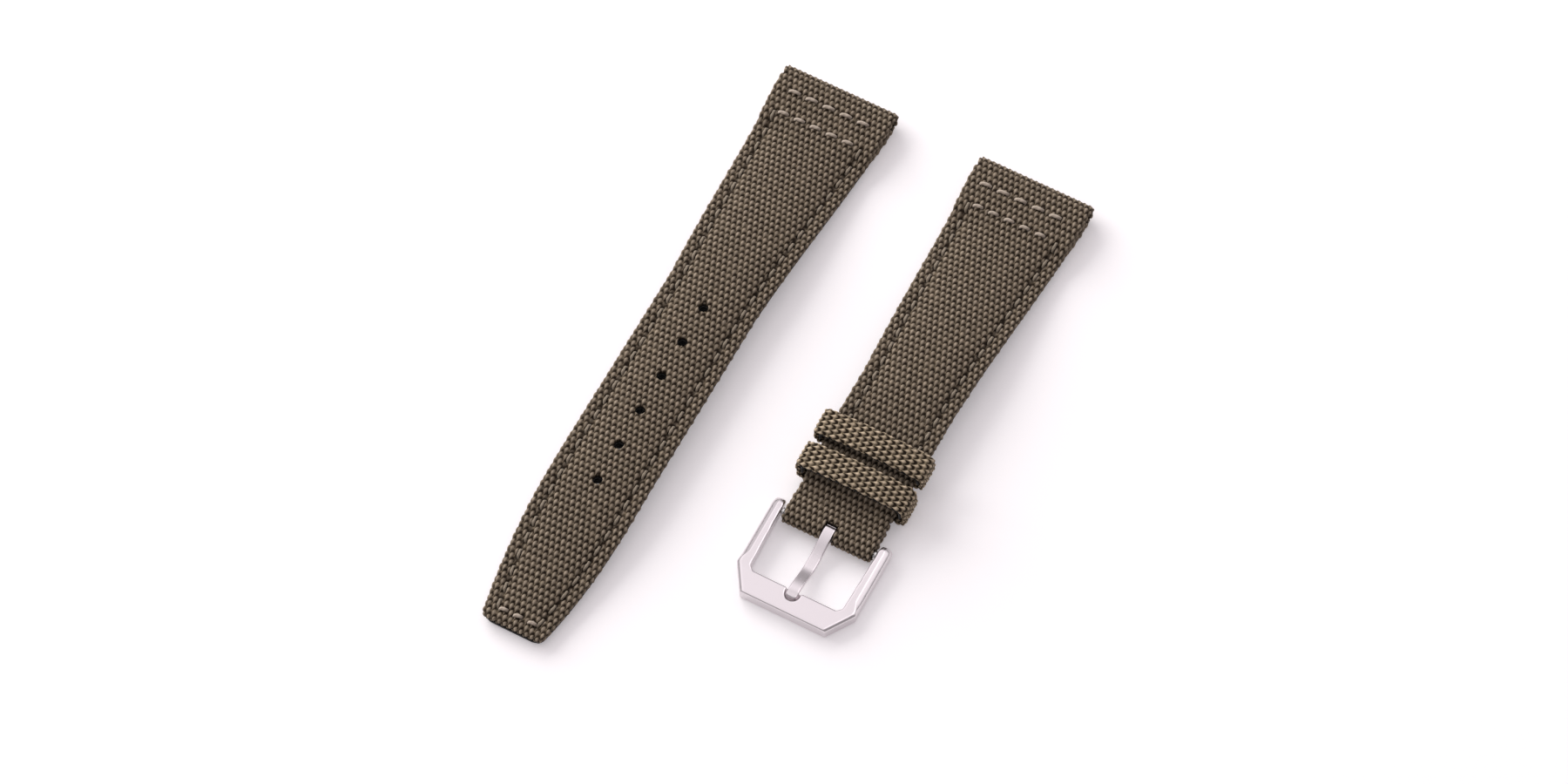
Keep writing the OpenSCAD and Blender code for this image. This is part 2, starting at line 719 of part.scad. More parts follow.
// Coil between the two heads, swept as one closed tube of six sides
module spring_bar_spring() {
    coil_r = (bar_bore_d - spring_wire) / 2 - run_gap;
    coil_len = 2 * (head_from - run_gap) - spring_wire;
    per_turn = 8;
    count = spring_turns * per_turn;
    pitch = coil_len / spring_turns;
    lean = atan(pitch / (2 * PI * coil_r));
    rings = [for (i = [0:count]) let(a = 360 * i / per_turn, x = -coil_len / 2 + coil_len * i / count)
        [for (j = [0:5]) let(b = 60 * j, u = spring_wire / 2 * cos(b), v = spring_wire / 2 * sin(b))
            [x + v * cos(lean), (coil_r + u) * cos(a) + v * sin(lean) * sin(a),
                (coil_r + u) * sin(a) - v * sin(lean) * cos(a)]]];
    color(steel_colour) at_buckle() loft(rings);
}

long_top_fabric();
long_padding();
long_reinforcement();
long_lining();
short_top_fabric();
short_padding();
short_reinforcement();
short_lining();
fixed_keeper_band();
fixed_keeper_liner();
floating_keeper_band();
floating_keeper_liner();
buckle_frame();
buckle_tongue();
spring_bar_tube();
spring_bar_spring();
spring_bar_tip_left();
spring_bar_tip_right();
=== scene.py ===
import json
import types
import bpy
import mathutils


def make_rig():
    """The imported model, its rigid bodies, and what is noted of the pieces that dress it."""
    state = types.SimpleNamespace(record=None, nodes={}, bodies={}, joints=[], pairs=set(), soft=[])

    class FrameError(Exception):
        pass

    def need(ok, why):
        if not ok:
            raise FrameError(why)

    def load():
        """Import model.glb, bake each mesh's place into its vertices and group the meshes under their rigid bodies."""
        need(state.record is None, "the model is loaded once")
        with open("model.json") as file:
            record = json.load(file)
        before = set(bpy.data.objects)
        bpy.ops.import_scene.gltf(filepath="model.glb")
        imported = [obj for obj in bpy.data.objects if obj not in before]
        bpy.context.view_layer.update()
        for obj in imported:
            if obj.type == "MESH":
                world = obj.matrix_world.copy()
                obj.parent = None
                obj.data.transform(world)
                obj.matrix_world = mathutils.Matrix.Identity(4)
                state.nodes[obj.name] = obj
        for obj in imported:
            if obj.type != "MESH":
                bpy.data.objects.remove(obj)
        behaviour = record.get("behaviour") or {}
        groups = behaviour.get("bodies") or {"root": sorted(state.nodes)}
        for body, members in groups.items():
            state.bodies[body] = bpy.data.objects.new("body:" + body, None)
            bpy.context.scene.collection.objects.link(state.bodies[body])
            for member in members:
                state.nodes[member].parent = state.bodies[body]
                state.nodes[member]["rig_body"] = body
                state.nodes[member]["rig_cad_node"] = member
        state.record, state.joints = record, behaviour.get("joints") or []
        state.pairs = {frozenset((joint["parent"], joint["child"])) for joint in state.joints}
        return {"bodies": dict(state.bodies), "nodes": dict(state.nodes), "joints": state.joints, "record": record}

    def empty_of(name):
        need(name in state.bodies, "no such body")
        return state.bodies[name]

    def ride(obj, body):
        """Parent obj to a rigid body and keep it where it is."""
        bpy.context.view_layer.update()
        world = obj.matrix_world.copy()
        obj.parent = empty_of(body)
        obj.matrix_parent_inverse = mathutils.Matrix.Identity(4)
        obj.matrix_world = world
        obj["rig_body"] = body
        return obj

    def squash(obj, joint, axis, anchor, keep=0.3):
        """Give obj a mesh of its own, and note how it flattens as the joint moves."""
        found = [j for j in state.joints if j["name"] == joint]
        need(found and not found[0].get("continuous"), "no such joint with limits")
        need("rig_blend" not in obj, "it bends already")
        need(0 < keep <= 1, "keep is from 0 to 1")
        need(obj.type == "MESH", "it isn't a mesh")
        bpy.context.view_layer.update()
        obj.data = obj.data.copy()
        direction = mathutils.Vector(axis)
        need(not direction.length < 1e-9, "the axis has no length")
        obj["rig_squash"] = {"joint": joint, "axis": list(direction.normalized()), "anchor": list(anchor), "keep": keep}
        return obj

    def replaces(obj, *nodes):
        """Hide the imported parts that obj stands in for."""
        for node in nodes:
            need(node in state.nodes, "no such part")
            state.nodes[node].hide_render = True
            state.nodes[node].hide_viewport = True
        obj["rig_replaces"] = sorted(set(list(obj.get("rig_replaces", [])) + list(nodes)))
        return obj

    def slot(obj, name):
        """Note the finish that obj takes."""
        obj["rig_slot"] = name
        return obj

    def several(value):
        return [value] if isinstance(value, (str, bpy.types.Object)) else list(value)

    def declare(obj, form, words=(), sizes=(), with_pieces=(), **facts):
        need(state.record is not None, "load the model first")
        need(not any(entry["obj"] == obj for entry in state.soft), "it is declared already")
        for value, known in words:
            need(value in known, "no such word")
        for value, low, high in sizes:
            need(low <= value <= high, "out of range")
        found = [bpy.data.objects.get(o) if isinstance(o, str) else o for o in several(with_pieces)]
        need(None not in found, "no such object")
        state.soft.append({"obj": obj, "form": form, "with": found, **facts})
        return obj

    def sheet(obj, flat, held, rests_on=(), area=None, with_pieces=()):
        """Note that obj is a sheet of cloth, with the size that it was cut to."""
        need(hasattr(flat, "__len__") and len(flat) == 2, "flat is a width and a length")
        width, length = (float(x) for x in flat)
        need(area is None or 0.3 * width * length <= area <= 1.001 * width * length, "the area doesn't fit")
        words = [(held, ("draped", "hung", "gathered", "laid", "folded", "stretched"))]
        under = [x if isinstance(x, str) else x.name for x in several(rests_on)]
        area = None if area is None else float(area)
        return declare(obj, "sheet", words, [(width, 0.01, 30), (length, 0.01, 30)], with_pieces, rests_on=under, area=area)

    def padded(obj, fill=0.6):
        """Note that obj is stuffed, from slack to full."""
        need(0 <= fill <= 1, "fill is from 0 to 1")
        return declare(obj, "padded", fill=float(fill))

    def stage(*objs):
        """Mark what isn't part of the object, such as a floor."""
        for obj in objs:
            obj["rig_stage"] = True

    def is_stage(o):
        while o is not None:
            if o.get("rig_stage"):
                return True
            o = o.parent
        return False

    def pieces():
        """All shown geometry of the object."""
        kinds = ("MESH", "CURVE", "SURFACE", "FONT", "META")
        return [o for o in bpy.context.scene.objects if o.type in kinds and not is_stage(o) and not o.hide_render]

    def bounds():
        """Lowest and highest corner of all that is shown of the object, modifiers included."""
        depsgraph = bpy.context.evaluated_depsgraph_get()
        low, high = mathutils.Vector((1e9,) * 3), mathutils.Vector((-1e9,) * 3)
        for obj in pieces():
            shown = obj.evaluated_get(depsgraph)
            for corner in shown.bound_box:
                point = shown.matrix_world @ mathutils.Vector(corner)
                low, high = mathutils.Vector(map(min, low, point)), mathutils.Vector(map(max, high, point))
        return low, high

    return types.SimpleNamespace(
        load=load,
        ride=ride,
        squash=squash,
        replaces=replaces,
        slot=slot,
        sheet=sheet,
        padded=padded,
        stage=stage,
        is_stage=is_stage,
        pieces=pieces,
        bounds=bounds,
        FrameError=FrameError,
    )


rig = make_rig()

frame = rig.load()

import json
import math

import bmesh
import bpy
import numpy as np
from mathutils import Vector

cad_box = [list(corner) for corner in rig.bounds()]
scene = bpy.context.scene

# Outer cloth of the long half.
# One piece of thick plain-woven nylon canvas, glued over the padding, turned round its edges
# and tip, and folded round the watch's spring bar at the lug end, where it comes back underneath.
MM = 0.001
LUG_WIDTH, LUG_FOLD, LUG_FOLD_THICK = 22.0, 9.5, 3.6
LOOP_R, LUG_BORE_R = 2.0, 1.05
EDGE_THICK, LINING_THICK, GLUE = 2.4, 0.8, 0.05
SKIN_FLOOR = LINING_THICK + GLUE
SEAM_IN, EDGE_ROLL, HEM_ROLL, HEM_IN = 2.2, 0.5, 0.35, 0.4
TAPER_END, FOLD_FADE, CROWN_POWER = 48.0, 4.0, 2.9
ROW_STEP, LEAST_WALL, FLOOR_STEP = 0.1, 0.1, 1.2
WARP, WEFT = 0.52, 1.175
WARP_STEPS, WEFT_STEPS = 4, 4


def ease(t):
    t = np.clip(t, 0, 1)
    return t * t * (3 - 2 * t)


def mix(a, b, t):
    return a + (b - a) * np.clip(t, 0, 1)


def tapered(width, s):
    return mix(LUG_WIDTH, width, (s - LUG_FOLD / 2) / (TAPER_END - LUG_FOLD / 2))


def past_fold(s, body):
    """A thickness that runs from the lug fold's into the body's."""
    return mix(LUG_FOLD_THICK, body, ease((s - LUG_FOLD) / FOLD_FADE))


LONG = dict(x=-19.45, y=59.6, length=119.2, width=17.2, body="long_half")
LONG_TIP_WIDTH, LONG_TIP_CURVE, LONG_ARCH, LONG_CROWN, LONG_TIP_CROWN = 11.2, 28.0, 2.4, 3.4, 2.9
LONG_CORE_MARGIN, LONG_CORNER, CORNER_SPARE = 5.6, 0.6, 0.3
ARCH_RISE, ARCH_FALL, ARCH_TIP = 34.0, 32.0, 4.0
FIRST_HOLE, HOLE_PITCH, HOLE_COUNT, HOLE_R = 51.5, 7.5, 6, 0.9
HOLES = [FIRST_HOLE + HOLE_PITCH * i for i in range(HOLE_COUNT)]


def long_half_width(s):
    bow = (LONG["width"] - LONG_TIP_WIDTH) / 2
    radius = (LONG_TIP_CURVE ** 2 + bow ** 2) / (2 * bow)
    d = np.maximum(0, s - (LONG["length"] - LONG_TIP_CURVE))
    return tapered(LONG["width"], s) / 2 - (radius - np.sqrt(radius ** 2 - d ** 2))


def long_rise(s):
    up, down = ease((s - LUG_FOLD) / ARCH_RISE), ease((LONG["length"] - ARCH_TIP - s) / ARCH_FALL)
    return LONG_ARCH * up * down


def long_edge(s):
    return past_fold(s, EDGE_THICK)


def long_crown(s):
    padded = mix(LONG_CROWN, LONG_TIP_CROWN, s / LONG["length"])
    body = mix(padded, EDGE_THICK, (s - LONG["length"] + LONG_CORE_MARGIN) / LONG_CORE_MARGIN)
    return past_fold(s, body)


LONG.update(half_width=long_half_width, rise=long_rise, edge=long_edge, crown=long_crown)


def along_top(half, s, height):
    """Points and outward directions, in Y and Z, at a height square to the underside."""
    near = 0.01
    slope = (half["rise"](s + near) - half["rise"](s - near)) / (2 * near)
    n = np.sqrt(1 + slope ** 2)
    return np.c_[-s + height * slope / n, half["rise"](s) + height / n, slope / n, 1 / n]


def lug_wrap(half):
    """Rows of the cloth from its end under the lug fold, round the loop, to the top of the loop.
    A row is y, z, normal y, normal z, half width, drop from crown to edge, depth of the side."""
    s = np.arange(LUG_FOLD, LOOP_R, -ROW_STEP)
    meet = np.where(s - LOOP_R < LUG_BORE_R,
                    LOOP_R - np.sqrt(np.maximum(0, LUG_BORE_R ** 2 - (s - LOOP_R) ** 2)), LOOP_R)
    zero = 0 * s
    under = np.c_[-s, zero, zero, zero - 1, half["half_width"](s), zero, meet - LEAST_WALL]
    a = np.linspace(math.pi, 0, 64)
    wall = LOOP_R - LUG_BORE_R
    nose = np.c_[-LOOP_R + LOOP_R * np.sin(a), LOOP_R + LOOP_R * np.cos(a), np.sin(a), np.cos(a),
                 0 * a + half["half_width"](0.0), 0 * a, 0 * a + wall]
    return np.vstack([under, nose])


def top_rows(half, s):
    """Rows of the cloth on top of the strap, at the distances s from the lug end."""
    flat_from = LOOP_R * 2.4
    fold_high = mix(2 * LOOP_R, LUG_FOLD_THICK, ease((s - flat_from) / (LUG_FOLD - flat_from)))
    crown = np.where(s < LUG_FOLD, fold_high, half["crown"](s))
    edge = np.where(s < LUG_FOLD, crown, half["edge"](s))
    bore = LOOP_R + np.sqrt(np.maximum(0, LUG_BORE_R ** 2 - (s - LOOP_R) ** 2))
    stepping = mix(LOOP_R, SKIN_FLOOR, (s - LUG_FOLD + FLOOR_STEP) / FLOOR_STEP)
    floor = np.where(s < LUG_FOLD, bore + LEAST_WALL, SKIN_FLOOR)
    floor = np.where((s > LUG_FOLD - FLOOR_STEP) & (s < LUG_FOLD), stepping, floor)
    return np.c_[along_top(half, s, crown), half["half_width"](s), crown - edge, edge - floor]


def with_lengths(rows, zero_at):
    """Adds the distance along the cloth, counted so that it is LOOP_R at row zero_at."""
    t = np.r_[0, np.cumsum(np.hypot(np.diff(rows[:, 0]), np.diff(rows[:, 1])))]
    return np.c_[t - t[zero_at] + LOOP_R, rows]


wrap = lug_wrap(LONG)
top = top_rows(LONG, np.arange(LOOP_R + ROW_STEP, LONG["length"], ROW_STEP))
LONG["rows"] = with_lengths(np.vstack([wrap, top]), len(wrap) - 1)
LONG["end"] = LONG["rows"][-1, 0]
LONG["corner"] = LONG_CORNER + CORNER_SPARE
LONG["bores"] = [(-LOOP_R, LOOP_R, LUG_BORE_R)]


def cloth_point(half, c, t):
    """Where the point of the cloth at c mm from its middle and t mm along it lies on the strap.
    Also gives how far past the edge's roll it is, and how far the cloth goes there."""
    rows = half["rows"]
    side, x = np.where(c < 0, -1.0, 1.0), np.abs(c)

    def at(column, where):
        return np.interp(where, rows[:, 0], rows[:, column])

    def rim(where):
        return at(5, where) - EDGE_ROLL

    foot, near = t.copy(), 0.2
    for _ in range(4):
        f = rim(foot)
        lean = (rim(foot + near) - rim(foot - near)) / (2 * near)
        foot = np.where(x > f, t + (x - f) * lean, t)
    f = rim(foot)
    past = np.hypot(x - f, t - foot)
    outside = x > f
    out_x = np.where(outside, (x - f) / np.maximum(past, 1e-9), 0)
    out_t = np.where(outside, (t - foot) / np.maximum(past, 1e-9), 0)
    past = np.where(outside, past, 0)
    near_x, near_t = np.where(outside, f, x), foot
    if half["corner"]:
        end = half["end"] - EDGE_ROLL
        turn = end - half["corner"]
        centre = rim(turn) - half["corner"]
        dx, dt = x - centre, t - turn
        r = np.hypot(dx, dt)
        fan = (dx > 0) & (dt > 0)
        out = np.maximum(r - half["corner"], 0)
        inner, arc, far = fan & (out == 0), fan & (out > 0), np.maximum(r, 1e-9)
        near_x = np.where(arc, centre + half["corner"] * dx / far, np.where(inner, x, near_x))
        near_t = np.where(arc, turn + half["corner"] * dt / far, np.where(inner, t, near_t))
        out_x = np.where(arc, dx / far, np.where(inner, 0, out_x))
        out_t = np.where(arc, dt / far, np.where(inner, 0, out_t))
        past = np.where(arc, out, np.where(inner, 0, past))
        front = (dx <= 0) & (t > end)
        near_x = np.where(front, x, near_x)
        near_t = np.where(front, end, near_t)
        out_x, out_t = np.where(front, 0, out_x), np.where(front, 1, out_t)
        past = np.where(front, t - end, past)
    y, z, ny, nz = (at(i, near_t) for i in (1, 2, 3, 4))
    drop, depth = at(6, near_t), at(7, near_t)
    seam = at(5, near_t) - SEAM_IN
    sink = drop * np.clip(near_x / seam, 0, 1) ** CROWN_POWER
    straight = np.maximum(depth - EDGE_ROLL - HEM_ROLL, 0)
    q1, q2 = EDGE_ROLL * math.pi / 2, HEM_ROLL * math.pi / 2
    over = np.clip(past, 0, q1) / EDGE_ROLL
    down = np.clip(past - q1, 0, straight)
    hem = np.clip(past - q1 - straight, 0, q2) / HEM_ROLL
    back = np.maximum(past - q1 - straight - q2, 0)
    a = EDGE_ROLL * np.sin(over) - HEM_ROLL * (1 - np.cos(hem)) - back
    b = EDGE_ROLL * (1 - np.cos(over)) + down + HEM_ROLL * np.sin(hem)
    lie = sink + b
    px = side * (near_x + a * out_x)
    tangent_y, tangent_z = -nz, ny
    py = y - ny * lie + a * out_t * tangent_y
    pz = z - nz * lie + a * out_t * tangent_z
    limit = q1 + straight + q2 + HEM_IN
    return np.stack([px + half["x"], py + half["y"], pz], -1), past, limit


uneven = np.random.default_rng(7).normal(0, 1, (61, 53))
YARN_BASE, RIB_RISE, FLOAT_RISE, GAP_SINK = 0.13, 0.04, 0.14, 0.22
CREST, CREST_BELOW = 0.2, 0.3


def weave(u, v, gape=1.0):
    """The plain weave at u warp yarns and v weft rows from the corner of the cloth: its height in mm, how
    far the warp lies on top, and how open the gap is that shows above each warp float, which sinks the
    height there and is used for the painted shade in the gap. No two are alike."""
    phase, float_half = 0.375, 0.62
    column = np.floor(u).astype(int)
    warp_up, gap = 0 * u, 0 * u
    for i in (column - 1, column, column + 1):
        off = np.abs(u - i - 0.5)
        along = (v - i + phase) % 2 - 1
        row = np.round((v - i - along - 1 + phase) / 2).astype(int)
        each = uneven[i % uneven.shape[0], row % uneven.shape[1]]
        rise = np.clip(1 - (along / float_half) ** 2, 0, 1) * np.clip(1 - 2.2 * off ** 2, 0, 1)
        warp_up = np.maximum(warp_up, rise * (1 + 0.1 * each))
        above = along + 0.74 - 0.6 * off ** 2
        arch = np.exp(-(above / (0.26 * gape)) ** 2) * np.clip((1 - off) / 0.22, 0, 1)
        gap = np.maximum(gap, arch * np.clip(0.9 + 0.12 * each, 0, 1))
    rib = np.sqrt(np.maximum(0, 1 - (2 * (v - np.floor(v)) - 1) ** 2))
    height = YARN_BASE + RIB_RISE * rib * (1 - warp_up) + FLOAT_RISE * warp_up - GAP_SINK * gap
    return height, np.clip(warp_up, 0, 1), gap


def normals_of(grid):
    du, dv = np.gradient(grid, axis=0), np.gradient(grid, axis=1)
    n = np.cross(du, dv)
    return n / np.maximum(np.linalg.norm(n, axis=-1, keepdims=True), 1e-12)


def in_scene(name, data):
    item = bpy.data.objects.new(name, data)
    scene.collection.objects.link(item)
    return item


def mesh_object(name, points, faces, body, material, uv, values=None):
    """A mesh piece riding on a body. Points are in mm, and uv and values are given for each point."""
    mesh = bpy.data.meshes.new(name)
    points = np.asarray(points, float) * MM
    faces = [np.asarray(f, np.int32) for f in faces if len(f)]
    mesh.vertices.add(len(points))
    mesh.vertices.foreach_set("co", points.astype(np.float32).ravel())
    sizes = np.concatenate([np.full(len(f), f.shape[1]) for f in faces])
    corners = np.concatenate([f.ravel() for f in faces])
    mesh.loops.add(len(corners))
    mesh.loops.foreach_set("vertex_index", corners)
    mesh.polygons.add(len(sizes))
    mesh.polygons.foreach_set("loop_start", np.r_[0, np.cumsum(sizes)[:-1]].astype(np.int32))
    mesh.polygons.foreach_set("use_smooth", np.ones(len(sizes), bool))
    mesh.update(calc_edges=True)
    mesh.validate()
    cloth_map = mesh.uv_layers.new(name="cloth")
    cloth_map.data.foreach_set("uv", np.asarray(uv, np.float32)[corners].ravel())
    for key, value in (values or {}).items():
        attribute = mesh.attributes.new(key, "FLOAT", "POINT")
        attribute.data.foreach_set("value", np.asarray(value, np.float32))
    piece = in_scene(name, mesh)
    mesh.materials.append(material)
    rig.ride(piece, body)
    return piece


def ring_faces(rings, points, closed, joined):
    """Quads between rings of points. Closed rings go on from the last to the first, and in a joined
    ring the last point meets the first."""
    across = np.arange(points if joined else points - 1)
    i, j = np.meshgrid(np.arange(rings if closed else rings - 1), across, indexing="ij")
    i2, j2 = (i + 1) % rings, (j + 1) % points
    return np.stack([i * points + j, i * points + j2, i2 * points + j2, i2 * points + j], -1).reshape(-1, 4)


def used_only(points, faces, *extra):
    """Drops the points that no face uses."""
    used = np.unique(np.concatenate([f.ravel() for f in faces if len(f)]))
    where = np.full(len(points), -1)
    where[used] = np.arange(len(used))
    return points[used], [where[f] for f in faces], *[e[used] for e in extra]


def grid_faces(keep):
    """Quads of a grid of points, given which of its cells are kept."""
    nj = keep.shape[1] + 1
    i, j = np.nonzero(keep)
    a = i * nj + j
    return np.c_[a, a + nj, a + nj + 1, a + 1]


def open_edges(faces):
    """Edges used by one face only, in that face's order."""
    e = np.concatenate([np.c_[faces[:, k], faces[:, (k + 1) % 4]] for k in range(4)])
    key = np.sort(e, axis=1)
    _, first, count = np.unique(key, axis=0, return_index=True, return_counts=True)
    return e[first[count == 1]]


def round_off(points, loose, centre, r, reach):
    """Moves the loose points near a punched hole onto its circle."""
    d = points[loose, :2] - centre
    off = np.linalg.norm(d, axis=1)
    near = off < r + reach
    points[loose[near], :2] = centre + d[near] / off[near, None] * r


def set_inputs(tree, node, values):
    """Gives each input of a node its plain value, or joins it to another node's output."""
    for key, value in values.items():
        if isinstance(value, bpy.types.NodeSocket):
            tree.links.new(value, node.inputs[key])
        else:
            node.inputs[key].default_value = value


def add_node(tree, kind, values, **settings):
    node = tree.nodes.new(kind)
    for key, value in settings.items():
        setattr(node, key, value)
    set_inputs(tree, node, values)
    return node


def fresh_material(name, values):
    """A material, its node tree and its one shader, which has the given values."""
    material = bpy.data.materials.new(name)
    material.use_nodes = True
    skin = material.node_tree.nodes["Principled BSDF"]
    set_inputs(material.node_tree, skin, values)
    return material, material.node_tree, skin


def streaks(tree, place, stretch, scale, detail):
    """Noise drawn out one way, as fibres and the marks of rubbing are."""
    move = add_node(tree, "ShaderNodeMapping", {"Vector": place, "Scale": stretch})
    values = {"Vector": move.outputs[0], "Scale": scale, "Detail": detail}
    return add_node(tree, "ShaderNodeTexNoise", values).outputs[0]


def spread_out(tree, value, start, end, low, high, **settings):
    """The value, with its part from start to end spread over low to high."""
    values = {"Value": value, "From Min": start, "From Max": end, "To Min": low, "To Max": high}
    return add_node(tree, "ShaderNodeMapRange", values, **settings).outputs[0]


def blended(tree, share, first, second, **settings):
    """One colour turning into another by a share, from 0 to 1."""
    values = {0: share, 6: first, 7: second}
    return add_node(tree, "ShaderNodeMix", values, data_type="RGBA", **settings).outputs[2]


def canvas_material(name, warp_colour, shaded_weft_colour, gap_shade_colour):
    """Matt yarns with their fibres and uneven dye. The weft is painted darker than the warp, as painted
    shade where it lies lower, and the gaps between the yarns are painted with near black shade.
    """
    material, tree, skin = fresh_material(name, {
        "Roughness": 0.72, "Specular IOR Level": 0.14, "Sheen Weight": 0.05, "Sheen Roughness": 0.5,
        "Sheen Tint": (0.8, 0.75, 0.62, 1)})
    uv = add_node(tree, "ShaderNodeUVMap", {}, uv_map="cloth").outputs[0]
    on_top = add_node(tree, "ShaderNodeAttribute", {}, attribute_name="warp_up").outputs["Fac"]
    relief = add_node(tree, "ShaderNodeAttribute", {}, attribute_name="relief").outputs["Fac"]
    along_warp = streaks(tree, uv, (22, 2.5, 1), 1.0, 2.0)
    along_weft = streaks(tree, uv, (3.0, 40, 1), 1.0, 2.0)
    fibre = add_node(tree, "ShaderNodeMix", {0: on_top, 2: along_weft, 3: along_warp}).outputs[0]
    fleck = add_node(tree, "ShaderNodeTexNoise", {"Vector": uv, "Scale": 0.9, "Detail": 1.0}).outputs[0]
    shade = spread_out(tree, fibre, 0.3, 0.7, 0.78, 1.2)
    dye = spread_out(tree, fleck, 0.3, 0.7, 0.75, 1.25)
    tone = add_node(tree, "ShaderNodeMath", {0: shade, 1: dye}, operation="MULTIPLY").outputs[0]
    yarn = blended(tree, on_top, (*shaded_weft_colour, 1), (*warp_colour, 1))
    dyed = blended(tree, 1.0, yarn, tone, blend_type="MULTIPLY")
    bump = add_node(tree, "ShaderNodeBump", {"Strength": 0.35, "Distance": 0.00006, "Height": fibre})
    shown = blended(tree, relief, (*gap_shade_colour, 1), dyed)
    set_inputs(tree, skin, {"Base Color": shown, "Normal": bump.outputs[0]})
    return material


# Near black painted shade for the gaps between the yarns, where the cloth shades itself.
GAP_SHADE_COLOUR = (0.012, 0.0065, 0.0025)
# The weft is the same yarn as the warp, painted darker as painted shade where it lies below the floats.
canvas = canvas_material("taupe_canvas", (0.35, 0.286, 0.22), (0.23, 0.178, 0.122), GAP_SHADE_COLOUR)
STITCH_PITCH, STITCH_GAP = 3.2, 1.5


def stitch_rows(rows):
    """The two needle points of each stitch, evenly along each polyline."""
    made = []
    for line in rows:
        line = np.array(line, float)
        along = np.r_[0, np.cumsum(np.linalg.norm(np.diff(line, axis=0), axis=1))]
        count = max(1, round((along[-1] + STITCH_GAP) / STITCH_PITCH))
        pitch = (along[-1] + STITCH_GAP) / count
        for i in range(count):
            ends = np.array([i * pitch, i * pitch + pitch - STITCH_GAP])
            made.append(np.stack([np.interp(ends, along, line[:, k]) for k in (0, 1)], 1))
    return np.array(made)


PULL_WIDTH, PULL_REACH, PULL_FLATTENS, PULL_DARKENS = 0.42, 2.5, 0.12, 0.24
TURNED_IN, TIP_TURNED_IN = 4.0, 3.5
RAW_EDGE, HIDDEN_EDGE = 0.8, 0.2


def stitch_pull(c, t, groups):
    """How deep stitches draw the cloth in. A group is its stitches, the depth of their grooves, and
    those of the first and the last needle hole of each."""
    pull = np.zeros_like(c)
    for a, b, groove, first, last in [(*stitch, *depths) for row, *depths in groups for stitch in row]:
        m = (np.abs(c - (a[0] + b[0]) / 2) < PULL_REACH) & (np.abs(t - (a[1] + b[1]) / 2) < PULL_REACH)
        p = np.stack([c[m], t[m]], -1)
        d = b - a
        k = np.clip(((p - a) @ d) / (d @ d), 0, 1)
        for foot, depth in ((a + k[:, None] * d, groove), (a, first), (b, last)):
            off = np.linalg.norm(p - foot, axis=1)
            pull[m] = np.maximum(pull[m], depth * np.exp(-(off / PULL_WIDTH) ** 2))
    return pull


